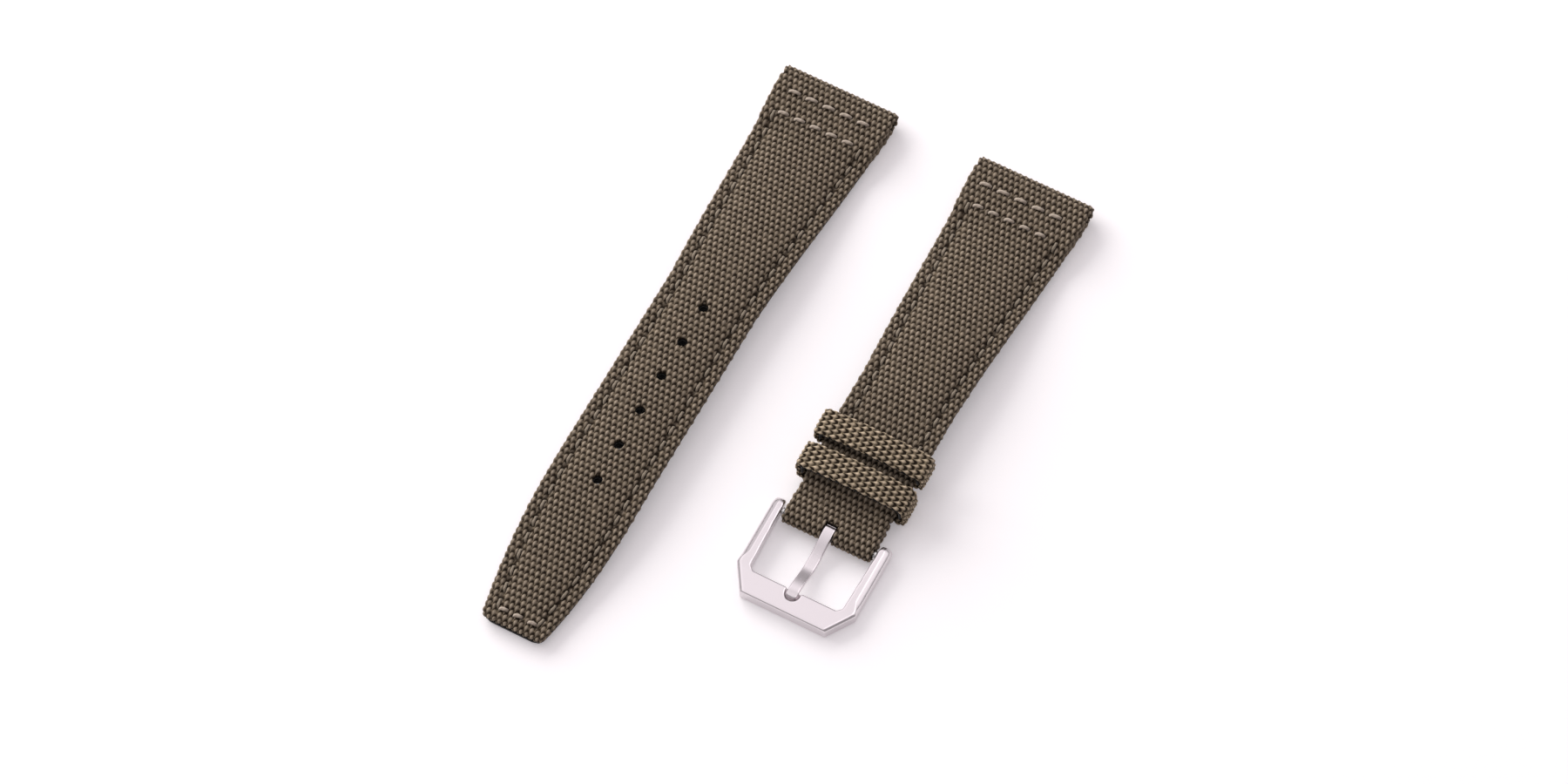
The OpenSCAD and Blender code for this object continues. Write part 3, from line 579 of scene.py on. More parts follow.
def cloth_cover(half, kind, groups, punched=(), slot=None):
    """The woven cover of a half, with the weave and the pull of the stitches in its shape.
    A slot is its half width and the two distances along the cloth between which it is open."""
    rows = half["rows"]
    warp_step, weft_step = WARP / WARP_STEPS, WEFT / WEFT_STEPS
    ni = int((rows[:, 5].max() + TURNED_IN) / warp_step)
    beyond = TIP_TURNED_IN if half["corner"] else 0
    j0, j1 = math.ceil(rows[0, 0] / weft_step), math.floor((rows[-1, 0] + beyond) / weft_step)
    i, j = np.meshgrid(np.arange(-ni, ni + 1), np.arange(j0, j1 + 1), indexing="ij")
    c, t = i * warp_step, j * weft_step
    grid, past, limit = cloth_point(half, c, t)
    normal = -normals_of(grid)
    height, warp_up, gap = weave(i / WARP_STEPS, j / WEFT_STEPS)
    pull = stitch_pull(c, t, groups)
    flat = np.exp(-(pull / PULL_FLATTENS) ** 2)
    # the weave is deeper where the cloth turns over an edge
    spread = 1 + 0.9 * ease(past / 0.4)
    crest = np.where(normal[..., 2] < -0.3, CREST_BELOW, CREST)
    grid = grid + normal * ((height - crest) * (0.5 + 0.5 * flat) * spread - pull)[..., None]
    keep = (past[:-1, :-1] + past[1:, 1:]) / 2 < (limit[:-1, :-1] + limit[1:, 1:]) / 2
    cloth = grid.reshape(-1, 3)
    centre = (grid[:-1, :-1] + grid[1:, :-1] + grid[:-1, 1:] + grid[1:, 1:]) / 4
    for s in punched:
        off = np.hypot(centre[..., 0] - half["x"], centre[..., 1] - (half["y"] - s))
        keep &= (off >= HOLE_R) | (centre[..., 2] <= 1)
    if slot:
        half_slot, t0, t1 = slot
        cc, tt = (c[:-1, :-1] + c[1:, 1:]) / 2, (t[:-1, :-1] + t[1:, 1:]) / 2
        keep &= ~((np.abs(cc) < half_slot) & (tt > t0) & (tt < t1))
    faces = grid_faces(keep)
    edges = open_edges(faces)
    loose = np.unique(edges)
    on_top = loose[cloth[loose, 2] > 1]
    for s in punched:
        round_off(cloth, on_top, [half["x"], half["y"] - s], HOLE_R, 0.4)
    # the raw edge shows its thickness in the holes and at the slot, and is hidden where it is turned in
    raw = np.where(past.reshape(-1)[loose] > EDGE_ROLL, HIDDEN_EDGE, RAW_EDGE)
    start = len(cloth)
    index = np.full(start, -1)
    index[loose] = start + np.arange(len(loose))
    points = np.vstack([cloth, cloth[loose] - normal.reshape(-1, 3)[loose] * raw[:, None]])
    for y, z, clear in half["bores"]:
        off = points[:, 1:] - [y + half["y"], z]
        r = np.linalg.norm(off, axis=1)
        inside = r < clear
        points[inside, 1:] = [y + half["y"], z] + off[inside] / r[inside, None] * clear
    rim = np.c_[edges[:, 0], edges[:, 1], index[edges[:, 1]], index[edges[:, 0]]][:, ::-1]
    uv = np.stack([i / WARP_STEPS, j / WEFT_STEPS], -1).reshape(-1, 2)
    uv = np.vstack([uv, uv[loose]])
    # Painted shade: the grooves that the stitches pull in are painted darker, together with the painted shade in the
    # gaps of the weave.
    shaded = 1 - 0.96 * ease(pull.reshape(-1) / PULL_DARKENS - 0.2)
    relief = np.clip(1 - 1.6 * gap.reshape(-1), 0, 1) * shaded
    # The raw edge's walls take the full painted gap shade: painted shade in the holes, the slot and the turned edges.
    relief = np.r_[relief, relief[loose] * 0]
    warp_up = np.r_[warp_up.reshape(-1), warp_up.reshape(-1)[loose]]
    faces = [faces[:, ::-1], rim[:, ::-1]]
    points, faces, uv, relief, warp_up = used_only(points, faces, uv, relief, warp_up)
    piece = mesh_object(kind + "_woven_cover", points, faces, half["body"], canvas, uv,
                        dict(relief=relief, warp_up=warp_up))
    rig.replaces(piece, kind + "_top_fabric")
    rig.slot(piece, "canvas")
    flat = (2 * np.abs(c[:-1, :-1][keep]).max() * MM, np.ptp(t[:-1, :-1][keep]) * MM)
    return piece, dict(flat=flat, area=keep.sum() * warp_step * weft_step * MM * MM)


SEAM_START, STITCH_SKEW = 9.9, 0.13
SEAM_PULL, BETWEEN_PULL, ROW_PULL = (0.3, 0.5, 0.5), (0.22, 0.3, 0.3), (0.16, 0.3, 0.6)


def side_seams(half, end):
    s = np.linspace(SEAM_START, end, 60)
    return stitch_rows([np.c_[sign * (half["half_width"](s) - SEAM_IN), s] for sign in (-1, 1)])


def rows_across(*rows):
    """Rows across the strap, each from left to right at a distance. A lockstitch lies a little askew
    to its row there."""
    made = stitch_rows([[(left, s), (right, s)] for left, right, s in rows])
    return made + np.array([[[0, STITCH_SKEW], [0, -STITCH_SKEW]]])


def between(stitches):
    """The stretches of a seam that run inside the cloth, from each stitch to the next."""
    hidden = np.stack([stitches[:-1, 1], stitches[1:, 0]], 1)
    return hidden[np.linalg.norm(hidden[:, 1] - hidden[:, 0], axis=1) < 2 * STITCH_GAP]


def pulling(sides, across):
    return [(sides, *SEAM_PULL), (between(sides), *BETWEEN_PULL), (across, *ROW_PULL)]


tip_row = LONG["length"] - SEAM_IN
long_sides = side_seams(LONG, tip_row)
long_across = rows_across((-8.0, 7.4, 5.25), (-7.75, 6.6, 9.75), (-3.4, 3.4, tip_row))
long_stitches = np.concatenate([long_sides, long_across])
long_cover, long_cut = cloth_cover(LONG, "long", pulling(long_sides, long_across), HOLES)

# Thread of the long half.
# Waxed two-ply polyester in a lighter beige, lockstitched through all the layers: each stitch
# dives into its needle holes, and the same stitches show on the lining underneath.
def thread_material(name, colour):
    """Two plies that lie round each other, with a shade between them."""
    material, tree, skin = fresh_material(name, {"Roughness": 0.55, "Sheen Weight": 0.2})
    uv = add_node(tree, "ShaderNodeUVMap", {}, uv_map="cloth").outputs[0]
    values = {"Vector": uv, "Scale": 1.6, "Distortion": 1.0}
    twist = add_node(tree, "ShaderNodeTexWave", values, bands_direction="DIAGONAL").outputs["Fac"]
    dark, light = (0.6 * v for v in colour), (min(1, 1.15 * v) for v in colour)
    set_inputs(tree, skin, {"Base Color": blended(tree, twist, (*dark, 1), (*light, 1))})
    return material


thread = thread_material("beige_thread", (0.55, 0.46, 0.37))
seam_thread = thread_material("taupe_thread", (0.3, 0.245, 0.18))
ROW_LAY, SEAM_LAY, UNDER_LAY = (0.33, 0.1), (0.26, 0.0), (0.17, -0.07)


def threads(name, half, stitches, where, material, radius, proud):
    """A short twisted tube for each stitch, laid by where(c, t), which gives points and directions out.
    Its middle stands proud of there and its ends dive in."""
    sides, steps = 8, 12
    dive, ply_depth, ply_turn, flattened = 0.55, 0.13, 5.5, 0.8
    k = np.linspace(0, 1, steps)
    lift = proud - dive * (np.abs(2 * k - 1) ** 4)
    points, faces, uv = [], [], []
    tube = ring_faces(steps, sides, False, True)
    i, m = np.meshgrid(np.arange(steps), np.arange(sides), indexing="ij")
    round_tube = np.stack([i * 0.7, m * 1.0], -1).reshape(-1, 2)
    for a, b in stitches:
        line = a + (b - a) * (0.5 + (k[:, None] - 0.5) * 1.02)
        base, out = where(line[:, 0], line[:, 1])
        path = base + out * lift[:, None]
        forward = np.gradient(path, axis=0)
        forward /= np.linalg.norm(forward, axis=1, keepdims=True)
        across = np.cross(forward, out)
        across /= np.linalg.norm(across, axis=1, keepdims=True)
        up = np.cross(across, forward)
        ring = []
        for angle in [2 * math.pi * m / sides for m in range(sides)]:
            r = radius * (1 + ply_depth * np.cos(2 * (angle - ply_turn * k)))
            ring.append(path + (across * math.cos(angle) + up * math.sin(angle) * flattened) * r[:, None])
        faces.append(len(points) * steps * sides + tube)
        points.append(np.stack(ring, 1).reshape(-1, 3))
        uv.append(round_tube)
    piece = mesh_object(name, np.vstack(points), [np.vstack(faces)], half["body"], material, np.vstack(uv))
    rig.slot(piece, "canvas")
    return piece


def on_cover(half):
    def where(c, t):
        p, _, _ = cloth_point(half, c, t)
        px, _, _ = cloth_point(half, c + 0.05, t)
        pt, _, _ = cloth_point(half, c, t + 0.05)
        out = -np.cross(px - p, pt - p)
        return p, out / np.linalg.norm(out, axis=1, keepdims=True)
    return where


def sewn(half, kind, cover, cut, sides, across):
    """Lays the threads on a half's cover, and says what sheet the cover was cut from."""
    seams = [threads(kind + "_cross_stitches", half, across, on_cover(half), thread, *ROW_LAY),
             threads(kind + "_side_stitches", half, sides, on_cover(half), seam_thread, *SEAM_LAY)]
    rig.sheet(cover, held="folded", rests_on=[kind + "_padding", kind + "_lining"], with_pieces=seams, **cut)


sewn(LONG, "long", long_cover, long_cut, long_sides, long_across)

# Lining, ribbon and padding of the long half.
# Dark microfibre with a fine nap glued under everything, a woven ribbon over it that keeps the
# strap from stretching, and a pad of dense felt that gives the crown. All are punched with the holes.
LINING_IN, LINING_ROUND, LINING_HOLE = 0.25, 0.3, 0.72
LAYERS_START, RIBBON_IN, RIBBON_THICK, RIBBON_HOLE = LUG_FOLD + 0.45, 1.25, 0.35, 0.78
PAD_IN, PAD_FROM, PAD_UNDER_TOP, PAD_LEAST, PAD_HOLE = 0.85, 0.45, 1.0, 1.45, 0.82


def fine_material(name, colour, scale, roughness, contrast):
    """Cloth too fine to show its yarns, with a nap that varies in tone and height."""
    values = {"Roughness": roughness, "Specular IOR Level": 0.25, "Sheen Weight": 0.15}
    material, tree, skin = fresh_material(name, values)
    place = add_node(tree, "ShaderNodeTexCoord", {}).outputs["Object"]
    nap = add_node(tree, "ShaderNodeTexNoise", {"Vector": place, "Scale": scale, "Detail": 4.0}).outputs[0]
    dark, light = (tuple(v * (1 + sign * contrast) for v in colour) for sign in (-1, 1))
    bump = add_node(tree, "ShaderNodeBump", {"Strength": 0.4, "Distance": 0.00008, "Height": nap})
    tone = blended(tree, nap, (*dark, 1), (*light, 1))
    set_inputs(tree, skin, {"Base Color": tone, "Normal": bump.outputs[0]})
    return material


microfibre = fine_material("dark_microfibre", (0.022, 0.021, 0.021), 5200, 0.85, 0.5)
# The felt is painted near black as the shade inside the punched holes, where alone it shows.
felt = fine_material("dark_felt", (0.012, 0.011, 0.011), 3000, 0.95, 0.4)
ribbon_weave = fine_material("dark_ribbon_weave", (0.02, 0.019, 0.019), 4000, 0.8, 0.3)


def layer(name, half, node, span, half_width, low, high, material, punched, hole_r, columns=56, row=0.4):
    """A closed layer of a half over a span of it, punched. low and high give the heights of its faces
    at x from the middle, s from the lug end and d in from the layer's nearest edge."""
    start, end = span
    s = np.linspace(start, end, int((end - start) / row) + 1)
    f = np.linspace(-1, 1, columns + 1)
    f = np.sign(f) * (1 - (1 - np.abs(f)) ** 1.25)
    share, along = np.meshgrid(f, s, indexing="ij")
    wide = half_width(along)
    x = share * wide
    d = np.minimum(np.minimum(wide - np.abs(x), along - start), end - along)
    grids = []
    for height in (low(x, along, d), high(x, along, d)):
        p = along_top(half, along.ravel(), height.ravel())
        grids.append(np.c_[x.ravel() + half["x"], p[:, 0] + half["y"], p[:, 1]])
    keep = np.ones((len(f) - 1, len(s) - 1), bool)
    mid = grids[1].reshape(len(f), len(s), 3)
    centre = (mid[:-1, :-1] + mid[1:, 1:]) / 2
    for hole in punched:
        keep &= np.hypot(centre[..., 0] - half["x"], centre[..., 1] - half["y"] + hole) > hole_r
    faces = grid_faces(keep)
    edges = open_edges(faces)
    loose = np.unique(edges)
    for hole in punched:
        for g in grids:
            round_off(g, loose, [half["x"], half["y"] - hole], hole_r, 0.5)
    n = len(grids[0])
    wall = np.c_[edges[:, 1], edges[:, 0], edges[:, 0] + n, edges[:, 1] + n]
    uv = np.c_[x.ravel(), along.ravel()]
    # faces of a grid run clockwise seen from above, so the top is turned over
    faces = [faces[:, ::-1] + n, faces, wall[:, ::-1]]
    points, faces, uv = used_only(np.vstack(grids), faces, np.vstack([uv, uv]))
    piece = mesh_object(name, points, faces, half["body"], material, uv)
    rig.replaces(piece, node)
    return piece


def cut_size(half_width, start, end):
    """A layer's flat size and its area, for the sheet that it was cut from."""
    widths = 2 * half_width(np.linspace(start, end, 200))
    return dict(flat=(widths.max() * MM, (end - start) * MM), area=widths.mean() * (end - start) * MM * MM)


def strap_layers(half, kind, lining_end, ribbon_end, padding_end, stitches, punched=()):
    dents = stitches.reshape(-1, 2)

    def seam(s):
        return half["half_width"](s) - SEAM_IN

    def level(height):
        return lambda x, s, d: 0 * x + height

    def lining_low(x, s, d):
        """The underside: its rim rounded, and a dent where each needle went in."""
        r = LINING_ROUND
        lift = r - np.sqrt(np.maximum(0, r ** 2 - np.maximum(0, r - d) ** 2))
        dent = np.zeros_like(x)
        for cx, cs in dents:
            m = (np.abs(x - cx) < 1) & (np.abs(s - cs) < 1)
            dent[m] = np.maximum(dent[m], 0.12 * np.exp(-((x[m] - cx) ** 2 + (s[m] - cs) ** 2) / 0.12))
        return lift + dent

    def lining_high(x, s, d):
        return 0 * x + LINING_THICK - 0.1 * np.exp(-d / 0.1)

    def lining_half_width(s):
        if not half["corner"]:
            return half["half_width"](s) - LINING_IN
        r = half["corner"] + EDGE_ROLL
        corner = r - np.sqrt(np.maximum(0, r ** 2 - np.maximum(0, s - lining_end + r) ** 2))
        return half["half_width"](s) - LINING_IN - corner

    def ribbon_half_width(s):
        return seam(s) - RIBBON_IN

    def pad_top(x, s, d):
        crown, edge = half["crown"](s), half["edge"](s)
        full = edge + (crown - edge) * (1 - np.clip(np.abs(x) / seam(s), 0, 1) ** CROWN_POWER)
        return np.maximum(full - PAD_UNDER_TOP - 0.25 * np.exp(-d / 0.4), PAD_LEAST)

    lining = layer(kind + "_lining_sheet", half, kind + "_lining", (LUG_FOLD + GLUE, lining_end),
                   lining_half_width, lining_low, lining_high, microfibre, punched, LINING_HOLE)
    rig.slot(lining, "lining")
    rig.sheet(lining, held="laid", rests_on=[kind + "_reinforcement"],
             **cut_size(lining_half_width, LUG_FOLD, lining_end))
    ribbon = layer(kind + "_ribbon", half, kind + "_reinforcement", (LAYERS_START, ribbon_end),
                   ribbon_half_width, level(SKIN_FLOOR), level(SKIN_FLOOR + RIBBON_THICK), ribbon_weave,
                   punched, RIBBON_HOLE, 40, 0.5)
    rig.slot(ribbon, "ribbon")
    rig.sheet(ribbon, held="laid", rests_on=[kind + "_lining"],
             **cut_size(ribbon_half_width, LAYERS_START, ribbon_end))
    pad = layer(kind + "_felt_pad", half, kind + "_padding", (LAYERS_START, padding_end),
                lambda s: seam(s) - PAD_IN, level(SKIN_FLOOR + PAD_FROM), pad_top, felt,
                punched, PAD_HOLE, 44, 0.5)
    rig.slot(pad, "padding")
    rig.padded(pad, 0.9)


core_end = LONG["length"] - LONG_CORE_MARGIN - GLUE
strap_layers(LONG, "long", LONG["length"] - LINING_IN, core_end, core_end, long_stitches, HOLES)


def under_lining(half):
    def where(c, t):
        p = along_top(half, t, 0 * t)
        return np.c_[c + half["x"], p[:, 0] + half["y"], p[:, 1]], -np.c_[0 * t, p[:, 2], p[:, 3]]
    return where


threads("long_stitches_below", LONG, long_stitches, under_lining(LONG), thread, *UNDER_LAY)

# Outer cloth of the short half.
# The same canvas. At the buckle end it slopes down, loses its padding and folds round the
# buckle's spring bar, with a slot cut through the fold where the tongue passes.
SLOPE = math.radians(6)
BAR_S, BAR_Z, SLOPE_START, BAR_LOOP_R, BAR_BORE_R = 77.54, 1.8, 56.0, 1.7, 0.86
END_THICK, END_UNDER, BAR_FOLD = 2.5, 1.4, 6.6
BAR_WIDTH, BAR_CLEAR, SLOT_HALF, SLOT_BACK = 16.9, 0.06, 1.2, 1.35
NOSE_KEPT, NOSE_FADE = 1.6, 4.0
PAD_FADE, SHORT_RISE, SHORT_SEAM_END, SHORT_RIBBON_IN, SHORT_PAD_END = 6.0, 34.0, 62.0, 1.05, 54.95
SHORT = dict(x=19.15, y=59.1, width=17.8, body="short_half", corner=None)
FOLD_S = BAR_S - END_UNDER * math.sin(SLOPE) - BAR_FOLD * math.cos(SLOPE)


def short_half_width(s):
    narrowing = (SHORT["width"] - BAR_WIDTH) * np.clip((s - SLOPE_START) / (FOLD_S - SLOPE_START), 0, 1)
    return (tapered(SHORT["width"], s) - narrowing) / 2


def short_slope(s):
    return BAR_Z + (BAR_S - s) * math.tan(SLOPE) - END_UNDER / math.cos(SLOPE)


def short_rise(s):
    level = short_slope(SLOPE_START) * ease((s - LUG_FOLD) / SHORT_RISE)
    return np.where(s < SLOPE_START, level, short_slope(s))


def short_padded(s):
    return 1 - ease((s - SLOPE_START + PAD_FADE) / PAD_FADE)


def short_edge(s):
    return past_fold(s, mix(END_THICK, EDGE_THICK, short_padded(s)))


def short_crown(s):
    body = mix(END_THICK, mix(LONG_CROWN, LONG_TIP_CROWN, s / LONG["length"]), short_padded(s))
    return past_fold(s, body)


SHORT.update(half_width=short_half_width, rise=short_rise, edge=short_edge, crown=short_crown)


def in_bar_frame(y, z):
    """From the frame of the sloping end, with its origin on the bar, to the half's own Y and Z."""
    return (-BAR_S + y * math.cos(SLOPE) - z * math.sin(SLOPE),
            BAR_Z + y * math.sin(SLOPE) + z * math.cos(SLOPE))


def bar_wrap():
    """Rows of the cloth from where the sloping end's fold starts, round the bar and back underneath,
    with how far each lies behind the bar."""
    def bore(v):
        return np.sqrt(np.maximum(0, BAR_BORE_R ** 2 - v ** 2))

    top = np.arange(BAR_FOLD - ROW_STEP, 0, -ROW_STEP)
    nose = np.linspace(0, math.pi, 50)
    under = np.arange(ROW_STEP, BAR_FOLD, ROW_STEP)
    z_top = mix(BAR_LOOP_R, END_THICK - END_UNDER, ease((top - NOSE_KEPT) / NOSE_FADE))
    z_under = -mix(BAR_LOOP_R, END_UNDER, ease((under - NOSE_KEPT) / NOSE_FADE))
    y = np.r_[top, -BAR_LOOP_R * np.sin(nose), under]
    z = np.r_[z_top, BAR_LOOP_R * np.cos(nose), z_under]
    ny = np.r_[0 * top, -np.sin(nose), 0 * under]
    nz = np.r_[0 * top + 1, np.cos(nose), 0 * under - 1]
    depth = np.r_[z_top - bore(top) - LEAST_WALL, 0 * nose + BAR_LOOP_R - BAR_BORE_R,
                  -z_under - bore(under) - LEAST_WALL]
    wy, wz = in_bar_frame(y, z)
    turned_y = ny * math.cos(SLOPE) - nz * math.sin(SLOPE)
    turned_z = ny * math.sin(SLOPE) + nz * math.cos(SLOPE)
    return np.c_[wy, wz, turned_y, turned_z, 0 * y + BAR_WIDTH / 2, 0 * y, depth], y


wrap = lug_wrap(SHORT)
top = top_rows(SHORT, np.arange(LOOP_R + ROW_STEP, FOLD_S, ROW_STEP))
bar_rows, bar_y = bar_wrap()
SHORT["rows"] = with_lengths(np.vstack([wrap, top, bar_rows]), len(wrap) - 1)
SHORT["end"] = SHORT["rows"][-1, 0]
SHORT["bores"] = [(-LOOP_R, LOOP_R, LUG_BORE_R), (-BAR_S, BAR_Z, BAR_BORE_R + BAR_CLEAR)]
along_bar = SHORT["rows"][-len(bar_rows):, 0]
open_from, open_to = along_bar[bar_y < SLOT_BACK][[0, -1]]
short_sides = side_seams(SHORT, SHORT_SEAM_END)
short_across = rows_across((-8.5, 6.95, 5.57), (-7.6, 6.0, 9.9))
short_stitches = np.concatenate([short_sides, short_across])
short_cover, short_cut = cloth_cover(SHORT, "short", pulling(short_sides, short_across),
                                     slot=(SLOT_HALF, open_from, open_to))
sewn(SHORT, "short", short_cover, short_cut, short_sides, short_across)
strap_layers(SHORT, "short", FOLD_S - GLUE, FOLD_S - SHORT_RIBBON_IN, SHORT_PAD_END, short_stitches)
threads("short_stitches_below", SHORT, short_stitches, under_lining(SHORT), thread, *UNDER_LAY)

# Keepers.
# Strips of the same canvas with both edges folded under, laid across so that the ribs run round
# them, each with a thin dark liner. The fixed one is caught in the side seams; the floating one
# is a closed loop, joined underneath, that slides along the strap.
KEEPER_LENGTH, KEEPER_THICK, LINER_LENGTH, LINER_THICK = 5.0, 0.9, 4.7, 0.4
KEEPER_HALF, KEEPER_HIGH, KEEPER_LOW, KEEPER_BOW = 10.5, 4.15, -2.42, 0.6
KEEPER_R, FIXED_R, LINER_R = 1.6, 1.2, 0.9
FIXED_BACK, TAB_LOW, TAB_HALF, FIXED_LINER_LOW = 14.0, -0.55, 7.2, 0.2
FLOATING_BACK, FLOATING_LINER_LOW = 7.4, -0.7
KEEPER_WARP_STEPS, KEEPER_WEFT_STEPS, LINER_POINTS, SPLIT = 5, 7, 40, 0.05
RIBS_ASKEW, OPEN_ASKEW, YARNS_ASKEW, KEEPER_GAPE = 14, 0.138, 0.11, 1.35
BAND_CROWN, TAB_THIN, TAB_FADE = 0.1, 0.5, 2.5
# The keepers' copy of the canvas is painted about 1.8 times lighter than the strap's, as painted light on the same
# cloth; its weft and gaps carry the same painted shade.
keeper_canvas = canvas_material("keeper_canvas", (0.635, 0.51, 0.37), (0.405, 0.32, 0.21), GAP_SHADE_COLOUR)


def keeper_path(half, low, high, r, open_end=None):
    """Points round a keeper in X and Z, from the middle of its underside or from one tab to the other."""
    bow_r = ((half - r) ** 2 + KEEPER_BOW ** 2) / (2 * KEEPER_BOW)
    lean = math.asin((half - r) / bow_r)
    a = np.linspace(0, math.pi / 2, 24)
    corner_low = np.c_[half - r + r * np.sin(a), low + r - r * np.cos(a)]
    b = np.linspace(0, math.pi / 2 - lean, 24)
    corner_high = np.c_[half - r + r * np.cos(b), high - r + r * np.sin(b)]
    c = np.linspace(lean, 0, 60)
    top = np.c_[bow_r * np.sin(c), high + KEEPER_BOW - bow_r + bow_r * np.cos(c)]
    start = [[0 if open_end is None else open_end, low]]
    right = np.vstack([start, corner_low, corner_high, top[1:]])
    return np.vstack([right, (right * [-1, 1])[-2::-1]])


def band_edge(v, flat, r):
    """The point v mm round a band's cross-section: its place across the band, its height over the
    path, and the direction out of the band there."""
    turn = math.pi * r
    if v < flat:
        return r + v, 0, 0, 1
    if v < flat + turn:
        a = (v - flat) / r
        return r + flat + r * math.sin(a), r * math.cos(a) - r, math.sin(a), math.cos(a)
    if v < 2 * flat + turn:
        return r + flat - (v - flat - turn), -2 * r, 0, -1
    a = (v - 2 * flat - turn) / r
    return r - r * math.sin(a), -r - r * math.cos(a), -math.sin(a), -math.cos(a)


def keeper_band(name, node, path, closed, back, body, woven):
    """A band whose cross-section has rounded edges, swept round a path. Its outer face lies on the path."""
    thick, length = (KEEPER_THICK, KEEPER_LENGTH) if woven else (LINER_THICK, LINER_LENGTH)
    along = np.r_[0, np.cumsum(np.linalg.norm(np.diff(path, axis=0), axis=1))]
    fine = KEEPER_WEFT_STEPS if woven else WEFT_STEPS
    steps = int(round(along[-1] / (WEFT / fine)))
    if closed:
        steps = 2 * fine * round(steps / (2 * fine))
    t = np.linspace(0, along[-1], steps + 1)[: steps if closed else None]
    px, pz = np.interp(t, along, path[:, 0]), np.interp(t, along, path[:, 1])
    kernel = np.array([1, 2, 3, 2, 1]) / 9
    if closed:
        px, pz = (np.convolve(np.r_[v[-2:], v, v[:2]], kernel, "valid") for v in (px, pz))
        tx, tz = (np.roll(v, -1) - np.roll(v, 1) for v in (px, pz))
    else:
        tx, tz = np.gradient(px), np.gradient(pz)
    n = np.hypot(tx, tz)
    nx, nz = tz / n, -tx / n
    r = thick / 2 * 0.98
    flat = length - 2 * r
    ring_len = 2 * flat + 2 * math.pi * r
    if woven:
        m = max(8, int(round(ring_len / (WARP / KEEPER_WARP_STEPS) / 2)) * 2)
        q = (flat * 1.5 + math.pi * r + np.linspace(SPLIT, ring_len - SPLIT, m)) % ring_len
    else:
        m = LINER_POINTS
        q = np.arange(m) * ring_len / m
    cy, cn, ey, en = np.array([band_edge(v, flat, r) for v in q]).T
    crown = np.where(cn > -0.01, BAND_CROWN * np.sin(math.pi * cy / length), 0)
    T, Q = np.meshgrid(t, q, indexing="ij")
    askew = RIBS_ASKEW * WARP / (steps * WEFT / fine) if closed else OPEN_ASKEW
    U, V = (Q + askew * T) / WARP, (T - YARNS_ASKEW * Q) / (along[-1] / steps * fine)
    lift, warp_up, gap = 0 * U, 0 * U, 0 * U
    thin = np.ones(len(t))
    if woven:
        height, warp_up, gap = weave(U, V, KEEPER_GAPE)
        lift = height - np.where(en < 0, CREST_BELOW, CREST)
    if woven and not closed:
        thin = mix(TAB_THIN, 1, ease(np.minimum(t, along[-1] - t) / TAB_FADE))
    out = (cn + crown) * thin[:, None] + lift * en
    y = back + (KEEPER_LENGTH - length) / 2 + cy + lift * ey
    wy, wz = in_bar_frame(y, pz[:, None] + nz[:, None] * out)
    points = np.stack([px[:, None] + nx[:, None] * out + SHORT["x"], wy + SHORT["y"], wz], -1)
    rows = len(t)
    faces = [ring_faces(rows, m, closed, not woven)]
    if not closed:
        faces += [np.arange(m)[::-1][None], (rows - 1) * m + np.arange(m)[None]]
    # Painted shade in the gaps of the weave, as on the strap.
    relief = np.clip(1 - 1.5 * gap.reshape(-1), 0, 1)
    piece = mesh_object(name, points.reshape(-1, 3), faces, body, keeper_canvas if woven else microfibre,
                        np.stack([U, V], -1).reshape(-1, 2), dict(relief=relief, warp_up=warp_up.reshape(-1)))
    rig.replaces(piece, node)
    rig.slot(piece, "keeper_canvas" if woven else "lining")
    cut = ring_len - 2 * SPLIT if woven else length
    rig.sheet(piece, flat=(max(0.01, cut * MM), along[-1] * MM), held="folded",
             rests_on=["short_woven_cover"], area=cut * along[-1] * MM * MM)


fixed_path = keeper_path(KEEPER_HALF, TAB_LOW, KEEPER_HIGH, FIXED_R, TAB_HALF)
keeper_band("fixed_keeper_woven_band", "fixed_keeper_band", fixed_path, False, FIXED_BACK, "short_half", True)
floating_path = keeper_path(KEEPER_HALF, KEEPER_LOW, KEEPER_HIGH, KEEPER_R)
keeper_band("floating_keeper_woven_band", "floating_keeper_band", floating_path, True, FLOATING_BACK,
            "floating_keeper", True)
liner_in = KEEPER_THICK + GLUE
inner_half, inner_high = KEEPER_HALF - liner_in, KEEPER_HIGH - liner_in
for name, low, back, body in (("fixed_keeper", FIXED_LINER_LOW, FIXED_BACK, "short_half"),
                              ("floating_keeper", FLOATING_LINER_LOW, FLOATING_BACK, "floating_keeper")):
    path = keeper_path(inner_half, low, inner_high, LINER_R, inner_half - LINER_R)
    path = path[path[:, 1] > low + LINER_R - 1e-6]
    keeper_band(name + "_dark_liner", name + "_liner", path, False, back, body, False)

# Buckle, tongue and spring bar.
# Stainless steel: the frame and tongue are tumbled and then satin-finished by hand along the
# strap, with polished bevels; the bar is a turned tube with two sprung tips.


def steel_material(name, colour, roughness, stretch, fine):
    """Steel rubbed one way, whose marks show in its gloss and a little in its surface."""
    material, tree, skin = fresh_material(name, {"Base Color": (*colour, 1), "Metallic": 1.0})
    place = add_node(tree, "ShaderNodeTexCoord", {}).outputs["Object"]
    grain = streaks(tree, place, stretch, fine, 3.0)
    rough = spread_out(tree, grain, 0.0, 1.0, roughness - 0.06, roughness + 0.08)
    bump = add_node(tree, "ShaderNodeBump", {"Strength": 0.06, "Distance": 0.00002, "Height": grain})
    set_inputs(tree, skin, {"Roughness": rough, "Normal": bump.outputs[0]})
    return material


satin = steel_material("satin_steel", (0.715, 0.675, 0.69), 0.23, (1, 12, 1), 900)
turned = steel_material("turned_steel", (0.62, 0.61, 0.6), 0.28, (14, 1, 1), 700)


def cad_shape(node):
    """The node's own shape, with the corners of its faces joined."""
    shape = bmesh.new()
    shape.from_mesh(frame["nodes"][node].data)
    bmesh.ops.remove_doubles(shape, verts=shape.verts, dist=1e-6)
    return shape


